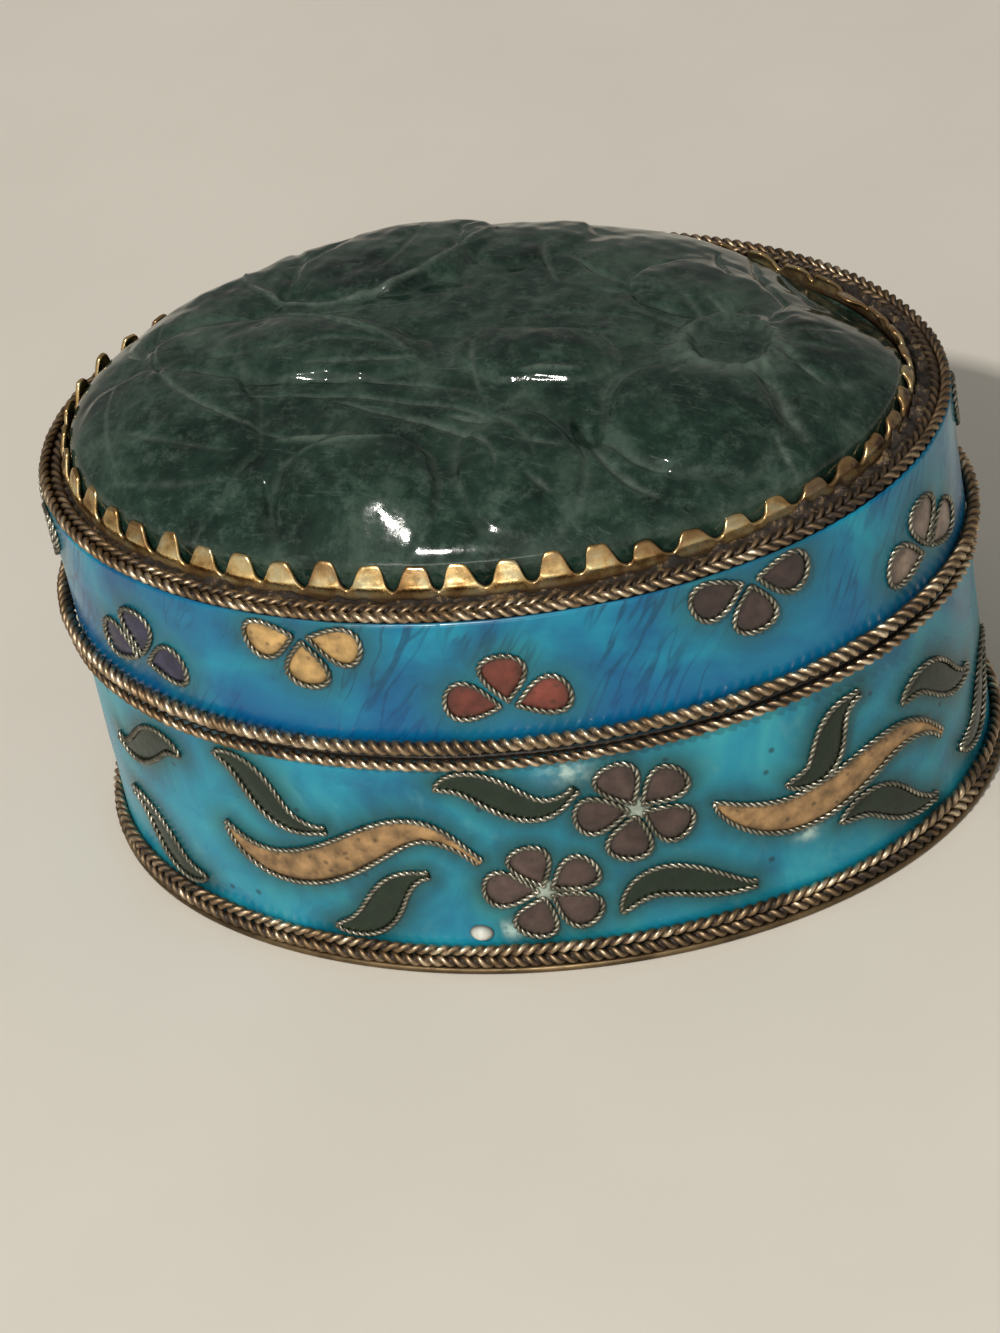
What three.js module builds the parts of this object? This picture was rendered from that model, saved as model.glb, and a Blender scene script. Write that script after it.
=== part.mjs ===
import * as THREE from 'three';

// An oval trinket box of enamelled gilt metal. A loose lid carries a carved jade stone in a
// toothed bezel. Millimetres, +Z up, +X along the oval. The origin is under the middle of the
// box, on the surface that it stands on.

// The oval, measured over the enamel of the walls, and the flats that its curve is made of.
const boxLength = 59.6;
const boxWidth = 43.4;
const wallFlats = 40;
const curveSamples = 720;

// Sheet metal and enamel.
const floorThickness = 0.5;
const floorMargin = 0.8;
const wallThickness = 0.5;
const enamelThickness = 0.45;
const topThickness = 0.5;
const seat = 0.02;

// Heights of the two walls, and the lip inside the base that the lid slides down over.
const baseWallHeight = 17.1;
const lidWallHeight = 9.65;
const lipAbove = 2.4;
const lipBelow = 5;
const lipThickness = 0.4;
const lipClearance = 0.15;

// Twisted wires round the edges. Each has its own thickness, and a reach over the enamel.
const ropeSides = 4;
const footRopeLowerWidth = 0.9;
const footRopeUpperWidth = 0.76;
const baseRimRopeWidth = 0.75;
const lidRimRopeWidth = 1;
const lidRimRopeLift = 0.5;
const baseRimRopeDrop = 0.15;
const topRopeOuterWidth = 0.72;
const topRopeOuterInset = 0.3;
const topRopeInnerWidth = 0.7;

// The stone and its bezel are a little longer than the walls' oval asks, and sit towards -X.
const settingStretch = 1.011;
const settingShift = -0.3;

// The bezel strip, which leans in over the side of the stone.
const bezelInset = 2.1;
const bezelThickness = 0.3;
const bezelBandHeight = 0.8;
const toothHeight = 1.65;
const toothPitch = 2.84;
const toothShoulder = 0.27;
const bezelLean = 0.2;

// The jade stone: a sloping side under the bezel, then a dome that is lower towards +X.
const stoneClearance = 0.1;
const stoneSideHeight = 2.05;
const domeRise = 4.9;
const domeTilt = 0.16;
const domeFlatness = 2.4;
const domeFullness = 0.6;
const stoneRings = 15;
const stoneSectors = 6;

// Bent wires that outline the flowers, leaves and scrolls.
const cellWireWidth = 0.38;
const cellWireHeight = 0.26;
const cellWireGap = 0.1;
const petalPoints = 5;
const petalRoundness = 0.55;
const flowerNeck = 0.9;
const sharpestMitre = 0.35;
const leafStations = 4;
const scrollStations = 6;

// The patterns are drawn on bands of these sizes, and stretched to the bands as built. Places
// are [along the wall from the middle of its front, height].
const drawnLength = 162.6;
const drawnBase = { foot: 2.2, top: 16.7 };
const drawnLid = { foot: 19.1, top: 27.8 };
const baseFlowerPetals = 5;
const petalSpread = 360 / baseFlowerPetals;

// The three-petalled flowers of the lid, upright and inverted in turn.
const lidFlowerCount = 12;
const lidFlowerRadius = 4.2;
const lidFlowerPetals = 3;
const lidFlowerStart = 4.7;
const uprightFlowerLift = 2.1;
const invertedFlowerDrop = 1;
const lidFlowerShifts = [-1.5, 0.9, 1.1, 0, -0.3, -0.4];

// The base pattern fills half of the oval and is repeated on the other half.
const patternCopies = 2;
const baseFlowerRadius = 4.2;
const baseFlowers = [
  { at: [3.2, 6.3], turn: 103 },
  { at: [9.8, 11.9], turn: 108 },
];
const scrollWidth = 2.3;
const scrolls = [
  [[-18.6, 9.6], [-15, 7.2], [-9.9, 8.8], [-5.5, 11.3], [-1.9, 9.9]],
  [[15, 10.7], [18.3, 8.3], [22.5, 8.3], [27, 9.6], [31.5, 7.4]],
];
const leafWidth = 1.9;
const leafTaper = 0.8;
const leaves = [
  [[-18.2, 15.5], [-15.6, 14.1], [-14.2, 11.9], [-10.6, 10.9]],
  [[-11.5, 2.8], [-8.3, 4.2], [-6.8, 6.4], [-4.1, 7.9]],
  [[-2.6, 15], [0.3, 14.9], [2.4, 13.2], [5, 13.7]],
  [[8, 3.8], [10.6, 5.8], [13.2, 4.9], [16.6, 3.6]],
  [[19.4, 10.6], [22.2, 11.3], [23.1, 13.4], [25.5, 14.9]],
  [[22.7, 5.7], [25.9, 5.8], [27.6, 4.4], [30.8, 3]],
  [[28.6, 12], [31.7, 12.2], [33.6, 10.4], [36.4, 9.6]],
  [[33.8, 4.6], [37, 4.9], [38.8, 7], [41.6, 8.6]],
  [[-21.6, 13.8], [-24.2, 13.9], [-26.3, 12.2], [-29.2, 11.9]],
  [[-22, 3.4], [-25, 3.9], [-26.6, 6], [-29.2, 7.3]],
];

// The relief of the stone, drawn on an oval of this half-length and half-width and stretched
// to the stone. Lobes are raised cushions: middle, half-lengths, turn in degrees and rise.
const drawnStone = [27.2, 18.8];
const stoneLobes = [
  { name: 'back petal', at: [-8.3, 13], half: [8.8, 8.8], turn: 0, rise: 1.2 },
  { name: 'back shoulder', at: [1.9, 13], half: [4.4, 5], turn: -10, rise: 0.6 },
  { name: 'left shoulder', at: [-18.2, 8], half: [5.4, 7], turn: -20, rise: 0.75 },
  { name: 'left leaf', at: [-20.2, -8], half: [8.4, 8], turn: -40, rise: 0.9 },
  { name: 'long leaf', at: [-11.7, -0.6], half: [10.5, 3.6], turn: -14, rise: 0.9 },
  { name: 'front bud', at: [-5.3, -14.8], half: [5.6, 4.8], turn: 0, rise: 1.2 },
  { name: 'middle leaf', at: [4.9, -3], half: [5.6, 3], turn: -6, rise: 0.7 },
  { name: 'lower leaf', at: [4.9, -13.2], half: [4, 5], turn: 20, rise: 0.7 },
  { name: 'round petal', at: [15.3, -8.2], half: [5.6, 5], turn: 0, rise: 1 },
  { name: 'right petal', at: [22.8, 1.5], half: [3.6, 5.4], turn: 14, rise: 0.6 },
  { name: 'upper petal', at: [14.1, 6.2], half: [4.4, 3.8], turn: 25, rise: 0.6 },
];
const lobeEdge = 0.2;
const lobeCrown = 0.35;
const reliefFade = 0.2;
const blossom = { at: [16.9, -1.2], ring: 2.6, ringWidth: 0.9, ringRise: 0.8, dish: 0.7 };

// Hollows in the stone: a small pit, and a broad one at the back right that lowers its edge.
const pit = { at: [8.7, -9.6], half: [0.9, 1.7], turn: 28, depth: 1.2 };
const backHollow = { at: [22.5, 10], half: [5.5, 9], turn: 39, depth: 2.2 };
const lowestEdge = 0.4;

// Heights and offsets that follow from the sizes. An offset is measured outwards from the
// enamel's surface, square to the wall.
const wallOuter = -enamelThickness - seat;
const wallInner = wallOuter - wallThickness;
const lipOuter = wallInner - lipClearance;
const lipInner = lipOuter - lipThickness;
const wallFoot = floorThickness + seat;
const baseTop = floorThickness + baseWallHeight;
const lidFoot = baseTop + seat;
const lidPlateFoot = lidFoot + lidWallHeight + seat;
const lidTop = lidPlateFoot + topThickness;
const bezelOuter = -bezelInset;
const bezelInner = bezelOuter - bezelThickness;
const stoneSeat = lidTop + seat;
const girdle = bezelInner - stoneClearance;
const domeOuter = girdle - bezelLean * stoneSideHeight;

// Round the oval

// The point at an angle of the oval, moved square to its curve by offset.
function ovalPoint(angle, offset, z) {
  const x = boxLength / 2 * Math.cos(angle);
  const y = boxWidth / 2 * Math.sin(angle);
  const normal = new THREE.Vector2(boxWidth / 2 * Math.cos(angle), boxLength / 2 * Math.sin(angle));
  normal.normalize();
  return new THREE.Vector3(x + offset * normal.x, y + offset * normal.y, z);
}

function evenAngles(count) {
  return Array.from({ length: count }, (unused, i) => i / count * 2 * Math.PI);
}

// A closed curve round the oval, from which points at equal distances can be taken.
function ovalCurve(offset) {
  const samples = evenAngles(curveSamples).map((angle) => ovalPoint(angle - Math.PI / 2, offset, 0));
  return new THREE.CatmullRomCurve3(samples, true);
}

const wallCurve = ovalCurve(0);
wallCurve.arcLengthDivisions = 2 * curveSamples;
const wallLength = wallCurve.getLength();

// The angle of the oval at a distance along the wall, counted from the middle of the front.
function wallAngle(distance) {
  const turns = distance / wallLength;
  const point = wallCurve.getPointAt(turns - Math.floor(turns));
  return Math.atan2(point.y / boxWidth, point.x / boxLength);
}

function wallPoint([along, z], offset) {
  return ovalPoint(wallAngle(along), offset, z);
}

// Meshes

function geometryOf(points, triangles) {
  const geometry = new THREE.BufferGeometry();
  geometry.setFromPoints(points);
  geometry.setIndex(triangles);
  geometry.computeVertexNormals();
  return geometry;
}

// A closed ring skinned over columns of points. Each column is a section of the ring.
function ringOf(columns) {
  const rows = columns[0].length;
  const triangles = [];
  for (let i = 0; i < columns.length; i += 1) {
    const next = (i + 1) % columns.length;
    for (let j = 0; j < rows; j += 1) {
      const up = (j + 1) % rows;
      triangles.push(i * rows + j, next * rows + j, next * rows + up);
      triangles.push(i * rows + j, next * rows + up, i * rows + up);
    }
  }
  return geometryOf(columns.flat(), triangles);
}

// A ring of one section, given as [offset, z] corners, round the whole oval.
function ovalRing(section) {
  const columns = evenAngles(wallFlats).map((angle) =>
    section.map(([offset, z]) => ovalPoint(angle, offset, z)));
  return ringOf(columns);
}

function ovalPlate(offset, z, thickness) {
  const shape = new THREE.Shape(evenAngles(wallFlats).map((angle) => ovalPoint(angle, offset, 0)));
  const plate = new THREE.ExtrudeGeometry(shape, { depth: thickness, bevelEnabled: false });
  return plate.translate(0, 0, z);
}

function ropeRing(offset, z, width) {
  const section = evenAngles(ropeSides).map((angle) =>
    [offset + width / 2 * Math.cos(angle), z + width / 2 * Math.sin(angle)]);
  return ovalRing(section);
}

// Finishes

const giltMetal = { color: '#a3803f', roughness: 0.42, metalness: 0.9 };
const brightGilt = { color: '#c9a24f', roughness: 0.3, metalness: 1 };
const twistedWire = { color: '#8f7a52', roughness: 0.45, metalness: 0.85 };
const lidBlue = { color: '#1585ad', roughness: 0.22, metalness: 0 };
const baseTurquoise = { color: '#3495a6', roughness: 0.24, metalness: 0 };
const darkJade = { color: '#2c4439', roughness: 0.18, metalness: 0 };

const box = new THREE.Group();

function addPiece(name, geometry, finish) {
  const mesh = new THREE.Mesh(geometry, new THREE.MeshStandardMaterial(finish));
  mesh.name = name;
  box.add(mesh);
}

// Base

addPiece('base_floor', ovalPlate(floorMargin, 0, floorThickness), giltMetal);

addPiece('base_wall', ovalRing([
  [wallOuter, wallFoot],
  [wallOuter, baseTop],
  [lipOuter, baseTop],
  [lipOuter, baseTop + lipAbove],
  [lipInner, baseTop + lipAbove],
  [lipInner, baseTop - lipBelow],
  [wallInner, baseTop - lipBelow],
  [wallInner, wallFoot],
]), giltMetal);

addPiece('base_enamel', ovalRing([
  [0, wallFoot],
  [0, baseTop],
  [-enamelThickness, baseTop],
  [-enamelThickness, wallFoot],
]), baseTurquoise);

const lowerFootZ = floorThickness + seat + footRopeLowerWidth / 2;
const upperFootZ = lowerFootZ + (footRopeLowerWidth + footRopeUpperWidth) / 2 + seat;
const baseRimZ = baseTop - baseRimRopeDrop - baseRimRopeWidth / 2;
const baseRopes = [
  { name: 'foot_rope_lower', z: lowerFootZ, width: footRopeLowerWidth },
  { name: 'foot_rope_upper', z: upperFootZ, width: footRopeUpperWidth },
  { name: 'base_rim_rope', z: baseRimZ, width: baseRimRopeWidth },
];
for (const rope of baseRopes) {
  addPiece(rope.name, ropeRing(seat + rope.width / 2, rope.z, rope.width), twistedWire);
}

// Lid

addPiece('lid_wall', ovalRing([
  [wallOuter, lidFoot],
  [wallOuter, lidPlateFoot - seat],
  [wallInner, lidPlateFoot - seat],
  [wallInner, lidFoot],
]), giltMetal);

addPiece('lid_top', ovalPlate(wallOuter, lidPlateFoot, topThickness), giltMetal);

addPiece('lid_enamel', ovalRing([
  [0, lidFoot],
  [0, lidTop],
  [-enamelThickness, lidTop],
  [-enamelThickness, lidFoot],
]), lidBlue);

const lidRimZ = lidFoot + lidRimRopeLift + lidRimRopeWidth / 2;
addPiece('lid_rim_rope', ropeRing(seat + lidRimRopeWidth / 2, lidRimZ, lidRimRopeWidth), twistedWire);

const topRopeSpacing = (topRopeOuterWidth + topRopeInnerWidth) / 2 + seat;
const topRopes = [
  { name: 'lid_top_rope_outer', offset: -topRopeOuterInset, width: topRopeOuterWidth },
  { name: 'lid_top_rope_inner', offset: -topRopeOuterInset - topRopeSpacing, width: topRopeInnerWidth },
];
for (const rope of topRopes) {
  addPiece(rope.name, ropeRing(rope.offset, stoneSeat + rope.width / 2, rope.width), twistedWire);
}

// Moves the stone or its bezel from the walls' oval to its own.
function inSetting(geometry) {
  return geometry.scale(settingStretch, 1, 1).translate(settingShift, 0, 0);
}

// Bezel: a strip with teeth along its top edge, leaning in over the stone's side.

function bezelColumn(angle, height) {
  const lean = bezelLean * height;
  return [
    ovalPoint(angle, bezelOuter, stoneSeat),
    ovalPoint(angle, bezelOuter - lean, stoneSeat + height),
    ovalPoint(angle, bezelInner - lean, stoneSeat + height),
    ovalPoint(angle, bezelInner, stoneSeat),
  ];
}

const toothCount = Math.round(ovalCurve(bezelOuter).getLength() / toothPitch);
const bezelColumns = [];
for (let tooth = 0; tooth < toothCount; tooth += 1) {
  const fullHeight = bezelBandHeight + toothHeight;
  const corners = [[0, bezelBandHeight], [toothShoulder, fullHeight], [1 - toothShoulder, fullHeight]];
  for (const [part, height] of corners) {
    bezelColumns.push(bezelColumn(wallAngle((tooth + part) / toothCount * wallLength), height));
  }
}
addPiece('bezel', inSetting(ringOf(bezelColumns)), brightGilt);

// Jade stone

// How far a point is from the middle of a turned oval, as a share of the oval's half-size.
function ovalDistance(x, y, { at, half, turn }) {
  const local = new THREE.Vector2(x - at[0], y - at[1]);
  local.rotateAround(new THREE.Vector2(), -THREE.MathUtils.degToRad(turn));
  return Math.hypot(local.x / half[0], local.y / half[1]);
}

function cushion(distance) {
  const edge = THREE.MathUtils.smoothstep(1 - distance, 0, lobeEdge);
  return edge * (1 - lobeCrown * distance * distance);
}

// How far an oval hollow lowers the stone at a point.
function sunk(x, y, hollow) {
  return hollow.depth * Math.exp(-(ovalDistance(x, y, hollow) ** 2));
}

// The carving's height over the plain dome. Where lobes meet, the highest one shows.
function carving(x, y) {
  let height = 0;
  for (const lobe of stoneLobes) {
    height = Math.max(height, lobe.rise * cushion(ovalDistance(x, y, lobe)));
  }
  const fromBlossom = Math.hypot(x - blossom.at[0], y - blossom.at[1]);
  const onRing = Math.exp(-(((fromBlossom - blossom.ring) / blossom.ringWidth) ** 2));
  const inDish = THREE.MathUtils.smoothstep(blossom.ring - fromBlossom, 0, blossom.ring);
  height = THREE.MathUtils.lerp(height, blossom.ringRise, onRing) - blossom.dish * inDish;
  return height - sunk(x, y, pit);
}

function stonePoint(share, angle) {
  const rim = ovalPoint(angle, domeOuter, 0);
  const x = share * rim.x;
  const y = share * rim.y;
  const dome = (1 - share ** domeFlatness) ** domeFullness;
  const rise = domeRise * (1 - domeTilt * x / (boxLength / 2));
  const drawnX = x / (boxLength / 2 + domeOuter) * drawnStone[0];
  const drawnY = y / (boxWidth / 2 + domeOuter) * drawnStone[1];
  const relief = carving(drawnX, drawnY) * THREE.MathUtils.smoothstep(1 - share, 0, reliefFade);
  const height = stoneSideHeight + rise * dome + relief - sunk(drawnX, drawnY, backHollow);
  return new THREE.Vector3(x, y, stoneSeat + Math.max(lowestEdge, height));
}

// Rings of points, each with six more than the one inside it, keep the triangles even.
function jadeStone() {
  const points = [stonePoint(0, 0)];
  const triangles = [];
  const firstOf = (ring) => (ring === 0 ? 0 : 1 + stoneSectors * ring * (ring - 1) / 2);
  const pointOf = (ring, place) => (ring === 0 ? 0 : firstOf(ring) + place % (stoneSectors * ring));
  for (let ring = 1; ring <= stoneRings; ring += 1) {
    for (const angle of evenAngles(stoneSectors * ring)) {
      points.push(stonePoint(ring / stoneRings, angle));
    }
    for (let sector = 0; sector < stoneSectors; sector += 1) {
      for (let step = 0; step < ring; step += 1) {
        const outer = sector * ring + step;
        const inner = sector * (ring - 1) + step;
        triangles.push(pointOf(ring, outer), pointOf(ring, outer + 1), pointOf(ring - 1, inner));
        if (step < ring - 1) {
          triangles.push(pointOf(ring - 1, inner), pointOf(ring, outer + 1), pointOf(ring - 1, inner + 1));
        }
      }
    }
  }
  const rimCount = stoneSectors * stoneRings;
  const rimStart = firstOf(stoneRings);
  const girdleStart = points.length;
  for (const angle of evenAngles(rimCount)) {
    points.push(ovalPoint(angle, girdle, stoneSeat));
  }
  const underside = points.length;
  points.push(new THREE.Vector3(0, 0, stoneSeat));
  for (let i = 0; i < rimCount; i += 1) {
    const next = (i + 1) % rimCount;
    triangles.push(girdleStart + i, girdleStart + next, rimStart + next);
    triangles.push(girdleStart + i, rimStart + next, rimStart + i);
    triangles.push(underside, girdleStart + next, girdleStart + i);
  }
  return geometryOf(points, triangles);
}
addPiece('jade_stone', inSetting(jadeStone()), darkJade);

// Wires bent to an outline on the wall

// A wire with a ridge, along a closed outline of [along, z] places that runs anticlockwise.
function outlineWire(places) {
  const corners = places.map(([along, z]) => new THREE.Vector2(along, z));
  const columns = corners.map((corner, i) => {
    const before = corners[(i + corners.length - 1) % corners.length];
    const after = corners[(i + 1) % corners.length];
    const arriving = corner.clone().sub(before).normalize();
    const leaving = after.clone().sub(corner).normalize();
    const direction = arriving.clone().add(leaving).normalize();
    const mitre = 1 / Math.max(sharpestMitre, direction.dot(leaving));
    const side = new THREE.Vector2(direction.y, -direction.x).multiplyScalar(mitre * cellWireWidth / 2);
    return [
      wallPoint([corner.x - side.x, corner.y - side.y], cellWireGap),
      wallPoint([corner.x + side.x, corner.y + side.y], cellWireGap),
      wallPoint([corner.x, corner.y], cellWireGap + cellWireHeight),
    ];
  });
  return ringOf(columns);
}

// The outline of a flower, or of a fan of its petals, with necks between them.
function flowerOutline({ at, turn, petals, radius }) {
  const places = [];
  const steps = petals * petalPoints;
  const isFan = petals < baseFlowerPetals;
  const count = isFan ? steps + 1 : steps;
  for (let step = 0; step < count; step += 1) {
    const angle = THREE.MathUtils.degToRad(turn + (step / petalPoints - petals / 2) * petalSpread);
    const lobe = Math.abs(Math.sin(step / petalPoints * Math.PI)) ** petalRoundness;
    const reach = flowerNeck + (radius - flowerNeck) * lobe;
    places.push([at[0] + reach * Math.cos(angle), at[1] + reach * Math.sin(angle)]);
  }
  return places;
}

// The outline of a leaf or scroll: a curve through its places, widest in the middle.
function leafOutline(places, width, stations) {
  const curve = new THREE.SplineCurve(places.map(([along, z]) => new THREE.Vector2(along, z)));
  const rightSide = [];
  const leftSide = [];
  for (let station = 1; station <= stations; station += 1) {
    const share = station / (stations + 1);
    const middle = curve.getPoint(share);
    const direction = curve.getTangent(share);
    const half = width / 2 * Math.sin(Math.PI * share) ** leafTaper;
    rightSide.push([middle.x + half * direction.y, middle.y - half * direction.x]);
    leftSide.unshift([middle.x - half * direction.y, middle.y + half * direction.x]);
  }
  return [places[0], ...rightSide, places[places.length - 1], ...leftSide];
}

// Stretches places drawn on a band of the drawn size to the band as built.
function fitToBand(places, drawn, band) {
  const stretch = (band.top - band.foot) / (drawn.top - drawn.foot);
  return places.map(([along, z]) =>
    [along / drawnLength * wallLength, band.foot + (z - drawn.foot) * stretch]);
}

const lidBand = { foot: lidRimZ + lidRimRopeWidth / 2, top: lidTop };
const baseBand = { foot: upperFootZ + footRopeUpperWidth / 2, top: baseRimZ - baseRimRopeWidth / 2 };

function addLidWire(name, places) {
  addPiece(name, outlineWire(fitToBand(places, drawnLid, lidBand)), twistedWire);
}

function addBaseWire(name, places) {
  addPiece(name, outlineWire(fitToBand(places, drawnBase, baseBand)), twistedWire);
}

for (let i = 0; i < lidFlowerCount; i += 1) {
  const shift = lidFlowerShifts[i % lidFlowerShifts.length];
  const along = lidFlowerStart + i / lidFlowerCount * drawnLength + shift;
  const upright = i % 2 === 0;
  addLidWire(`lid_flower_${i + 1}`, flowerOutline({
    at: [along, upright ? drawnLid.foot + uprightFlowerLift : drawnLid.top - invertedFlowerDrop],
    turn: upright ? 90 : -90,
    petals: lidFlowerPetals,
    radius: lidFlowerRadius,
  }));
}

for (let copy = 0; copy < patternCopies; copy += 1) {
  const shifted = ([along, z]) => [along + copy / patternCopies * drawnLength, z];
  const label = copy + 1;
  baseFlowers.forEach(({ at, turn }, i) => {
    addBaseWire(`base_flower_${label}_${i + 1}`, flowerOutline({
      at: shifted(at), turn, petals: baseFlowerPetals, radius: baseFlowerRadius,
    }));
  });
  scrolls.forEach((places, i) => {
    const outline = leafOutline(places.map(shifted), scrollWidth, scrollStations);
    addBaseWire(`base_scroll_${label}_${i + 1}`, outline);
  });
  leaves.forEach((places, i) => {
    const outline = leafOutline(places.map(shifted), leafWidth, leafStations);
    addBaseWire(`base_leaf_${label}_${i + 1}`, outline);
  });
}

export default box;
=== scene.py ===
"""Looks of an oval box in enamelled gilt metal, with a carved jade stone set in its lid."""
import math

import bpy
import numpy as np
from mathutils import Matrix, Vector


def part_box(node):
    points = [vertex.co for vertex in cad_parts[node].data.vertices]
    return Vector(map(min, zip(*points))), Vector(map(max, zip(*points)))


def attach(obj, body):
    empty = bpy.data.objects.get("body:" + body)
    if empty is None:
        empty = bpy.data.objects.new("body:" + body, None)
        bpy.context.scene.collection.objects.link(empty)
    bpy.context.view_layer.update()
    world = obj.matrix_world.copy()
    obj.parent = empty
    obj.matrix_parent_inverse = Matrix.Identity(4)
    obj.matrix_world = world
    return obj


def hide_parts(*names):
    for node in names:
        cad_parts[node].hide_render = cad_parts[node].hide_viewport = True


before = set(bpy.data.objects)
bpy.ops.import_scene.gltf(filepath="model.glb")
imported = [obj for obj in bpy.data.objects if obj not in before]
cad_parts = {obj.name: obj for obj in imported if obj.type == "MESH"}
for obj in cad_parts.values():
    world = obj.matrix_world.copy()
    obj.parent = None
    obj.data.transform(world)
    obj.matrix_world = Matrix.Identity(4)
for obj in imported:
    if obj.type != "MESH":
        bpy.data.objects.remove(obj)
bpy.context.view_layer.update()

MM = 0.001
TAU = 2 * math.pi
CHANCE = np.random.default_rng(11)


# Sizes read from the frame, in millimetres

def node_box(node):
    low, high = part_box(node)
    return np.array(low) / MM, np.array(high) / MM


HALF_LENGTH, HALF_WIDTH, LID_ENAMEL_TOP = node_box("lid_enamel")[1]
LID_ENAMEL_FOOT = node_box("lid_enamel")[0][2]
ENAMEL_THICKNESS = 0.45
BEZEL_LOW, BEZEL_HIGH = node_box("bezel")
STONE_SEAT = BEZEL_LOW[2]
BEZEL_HEIGHT = BEZEL_HIGH[2] - STONE_SEAT
BEZEL_OUTER = BEZEL_HIGH[1] - HALF_WIDTH
BEZEL_THICKNESS = 0.3
GIRDLE = BEZEL_OUTER - BEZEL_THICKNESS - 0.1
SETTING_SHIFT = (BEZEL_LOW[0] + BEZEL_HIGH[0]) / 2
SETTING_STRETCH = (BEZEL_HIGH[0] - BEZEL_LOW[0]) / 2 / (HALF_LENGTH + BEZEL_OUTER)
SEAM_TOP = node_box("lid_rim_rope")[0][2]
SEAM_FOOT = np.mean([corner[2] for corner in node_box("base_rim_rope")])


# Camera, lights and floor

FOCAL_PIXELS = 4500
FRAME_HEIGHT = 1333
SENSOR = 36
CAMERA_DISTANCE = 298.5
CAMERA_AZIMUTH = math.radians(14.24)
CAMERA_ELEVATION = math.radians(35.6)
CAMERA_ROLL = math.radians(-11.1)
LOOK_HEIGHT = 13.9
AIM_RIGHT = -23.2
AIM_UP = -74.1

# The room is darker behind and above than in front of the box.
FRONT_AND_LOW = (0, -1, -0.3)
ROOM = [(0.0, (0.27, 0.26, 0.243)), (0.9, (0.84, 0.81, 0.76))]


def add_camera():
    """The camera of the photograph: its angle, its distance and where it aims."""
    sin_a, cos_a = math.sin(CAMERA_AZIMUTH), math.cos(CAMERA_AZIMUTH)
    sin_e, cos_e = math.sin(CAMERA_ELEVATION), math.cos(CAMERA_ELEVATION)
    back = Vector((sin_a * cos_e, -cos_a * cos_e, sin_e))
    level = Vector((cos_a, sin_a, 0))
    upright = back.cross(level)
    right = math.cos(CAMERA_ROLL) * level + math.sin(CAMERA_ROLL) * upright
    up = back.cross(right)
    forward = (right * AIM_RIGHT + up * AIM_UP - back * FOCAL_PIXELS).normalized()
    right = (right - right.dot(forward) * forward).normalized()
    up = right.cross(forward)
    data = bpy.data.cameras.new("photo_camera")
    data.lens = SENSOR * FOCAL_PIXELS / FRAME_HEIGHT
    data.sensor_width = SENSOR
    data.clip_start = 0.02
    camera = bpy.data.objects.new("photo_camera", data)
    place = Vector((0, 0, LOOK_HEIGHT)) + back * CAMERA_DISTANCE
    turn = Matrix((right, up, -forward)).transposed()
    camera.matrix_world = Matrix.Translation(place * MM) @ turn.to_4x4()
    bpy.context.scene.collection.objects.link(camera)
    bpy.context.scene.camera = camera


def add_light(name, place, width, height, power, color):
    """A soft light panel, aimed at the box."""
    data = bpy.data.lights.new(name, "AREA")
    data.shape = "RECTANGLE"
    data.size = width
    data.size_y = height
    data.energy = power
    data.color = color
    light = bpy.data.objects.new(name, data)
    place = Vector(place)
    aim = Vector((0, 0, LOOK_HEIGHT * MM)) - place
    light.matrix_world = Matrix.Translation(place) @ aim.to_track_quat("-Z", "Y").to_matrix().to_4x4()
    bpy.context.scene.collection.objects.link(light)


def add_surroundings():
    """Soft studio light from the front, and a plain pale floor."""
    add_light("key_light", (-0.21, -0.675, 0.75), 0.042, 0.042, 7.2, (1.0, 0.96, 0.89))
    add_light("front_light", (-0.14, -0.9, 0.13), 0.5, 0.13, 1.0, (1.0, 0.95, 0.85))
    world = bpy.data.worlds.new("studio")
    world.use_nodes = True
    tree = world.node_tree
    towards = tree.nodes.new("ShaderNodeVectorMath")
    towards.operation = "DOT_PRODUCT"
    towards.inputs[1].default_value = FRONT_AND_LOW
    tree.links.new(tree.nodes.new("ShaderNodeTexCoord").outputs["Generated"], towards.inputs[0])
    walls = tree.nodes.new("ShaderNodeValToRGB")
    for stop, (position, color) in zip(walls.color_ramp.elements, ROOM):
        stop.position = position
        stop.color = (*color, 1)
    tree.links.new(towards.outputs["Value"], walls.inputs["Fac"])
    tree.links.new(walls.outputs["Color"], tree.nodes["Background"].inputs["Color"])
    bpy.context.scene.world = world
    bpy.context.scene.view_settings.view_transform = "Standard"
    reach = 3.0
    corners = [(-reach, -reach, 0), (reach, -reach, 0), (reach, reach, 0), (-reach, reach, 0)]
    mesh = bpy.data.meshes.new("floor")
    mesh.from_pydata(corners, [], [(0, 1, 2, 3)])
    floor = bpy.data.objects.new("floor", mesh)
    bpy.context.scene.collection.objects.link(floor)
    shader = Shader("pale_floor", roughness=0.7)
    tone = shader.noise(30, detail=3)
    shader.set("Base Color", shader.ramp(tone, [(0.3, (0.72, 0.685, 0.615)), (0.7, (0.76, 0.72, 0.65))]))
    mesh.materials.append(shader.material)


# Node materials

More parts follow.
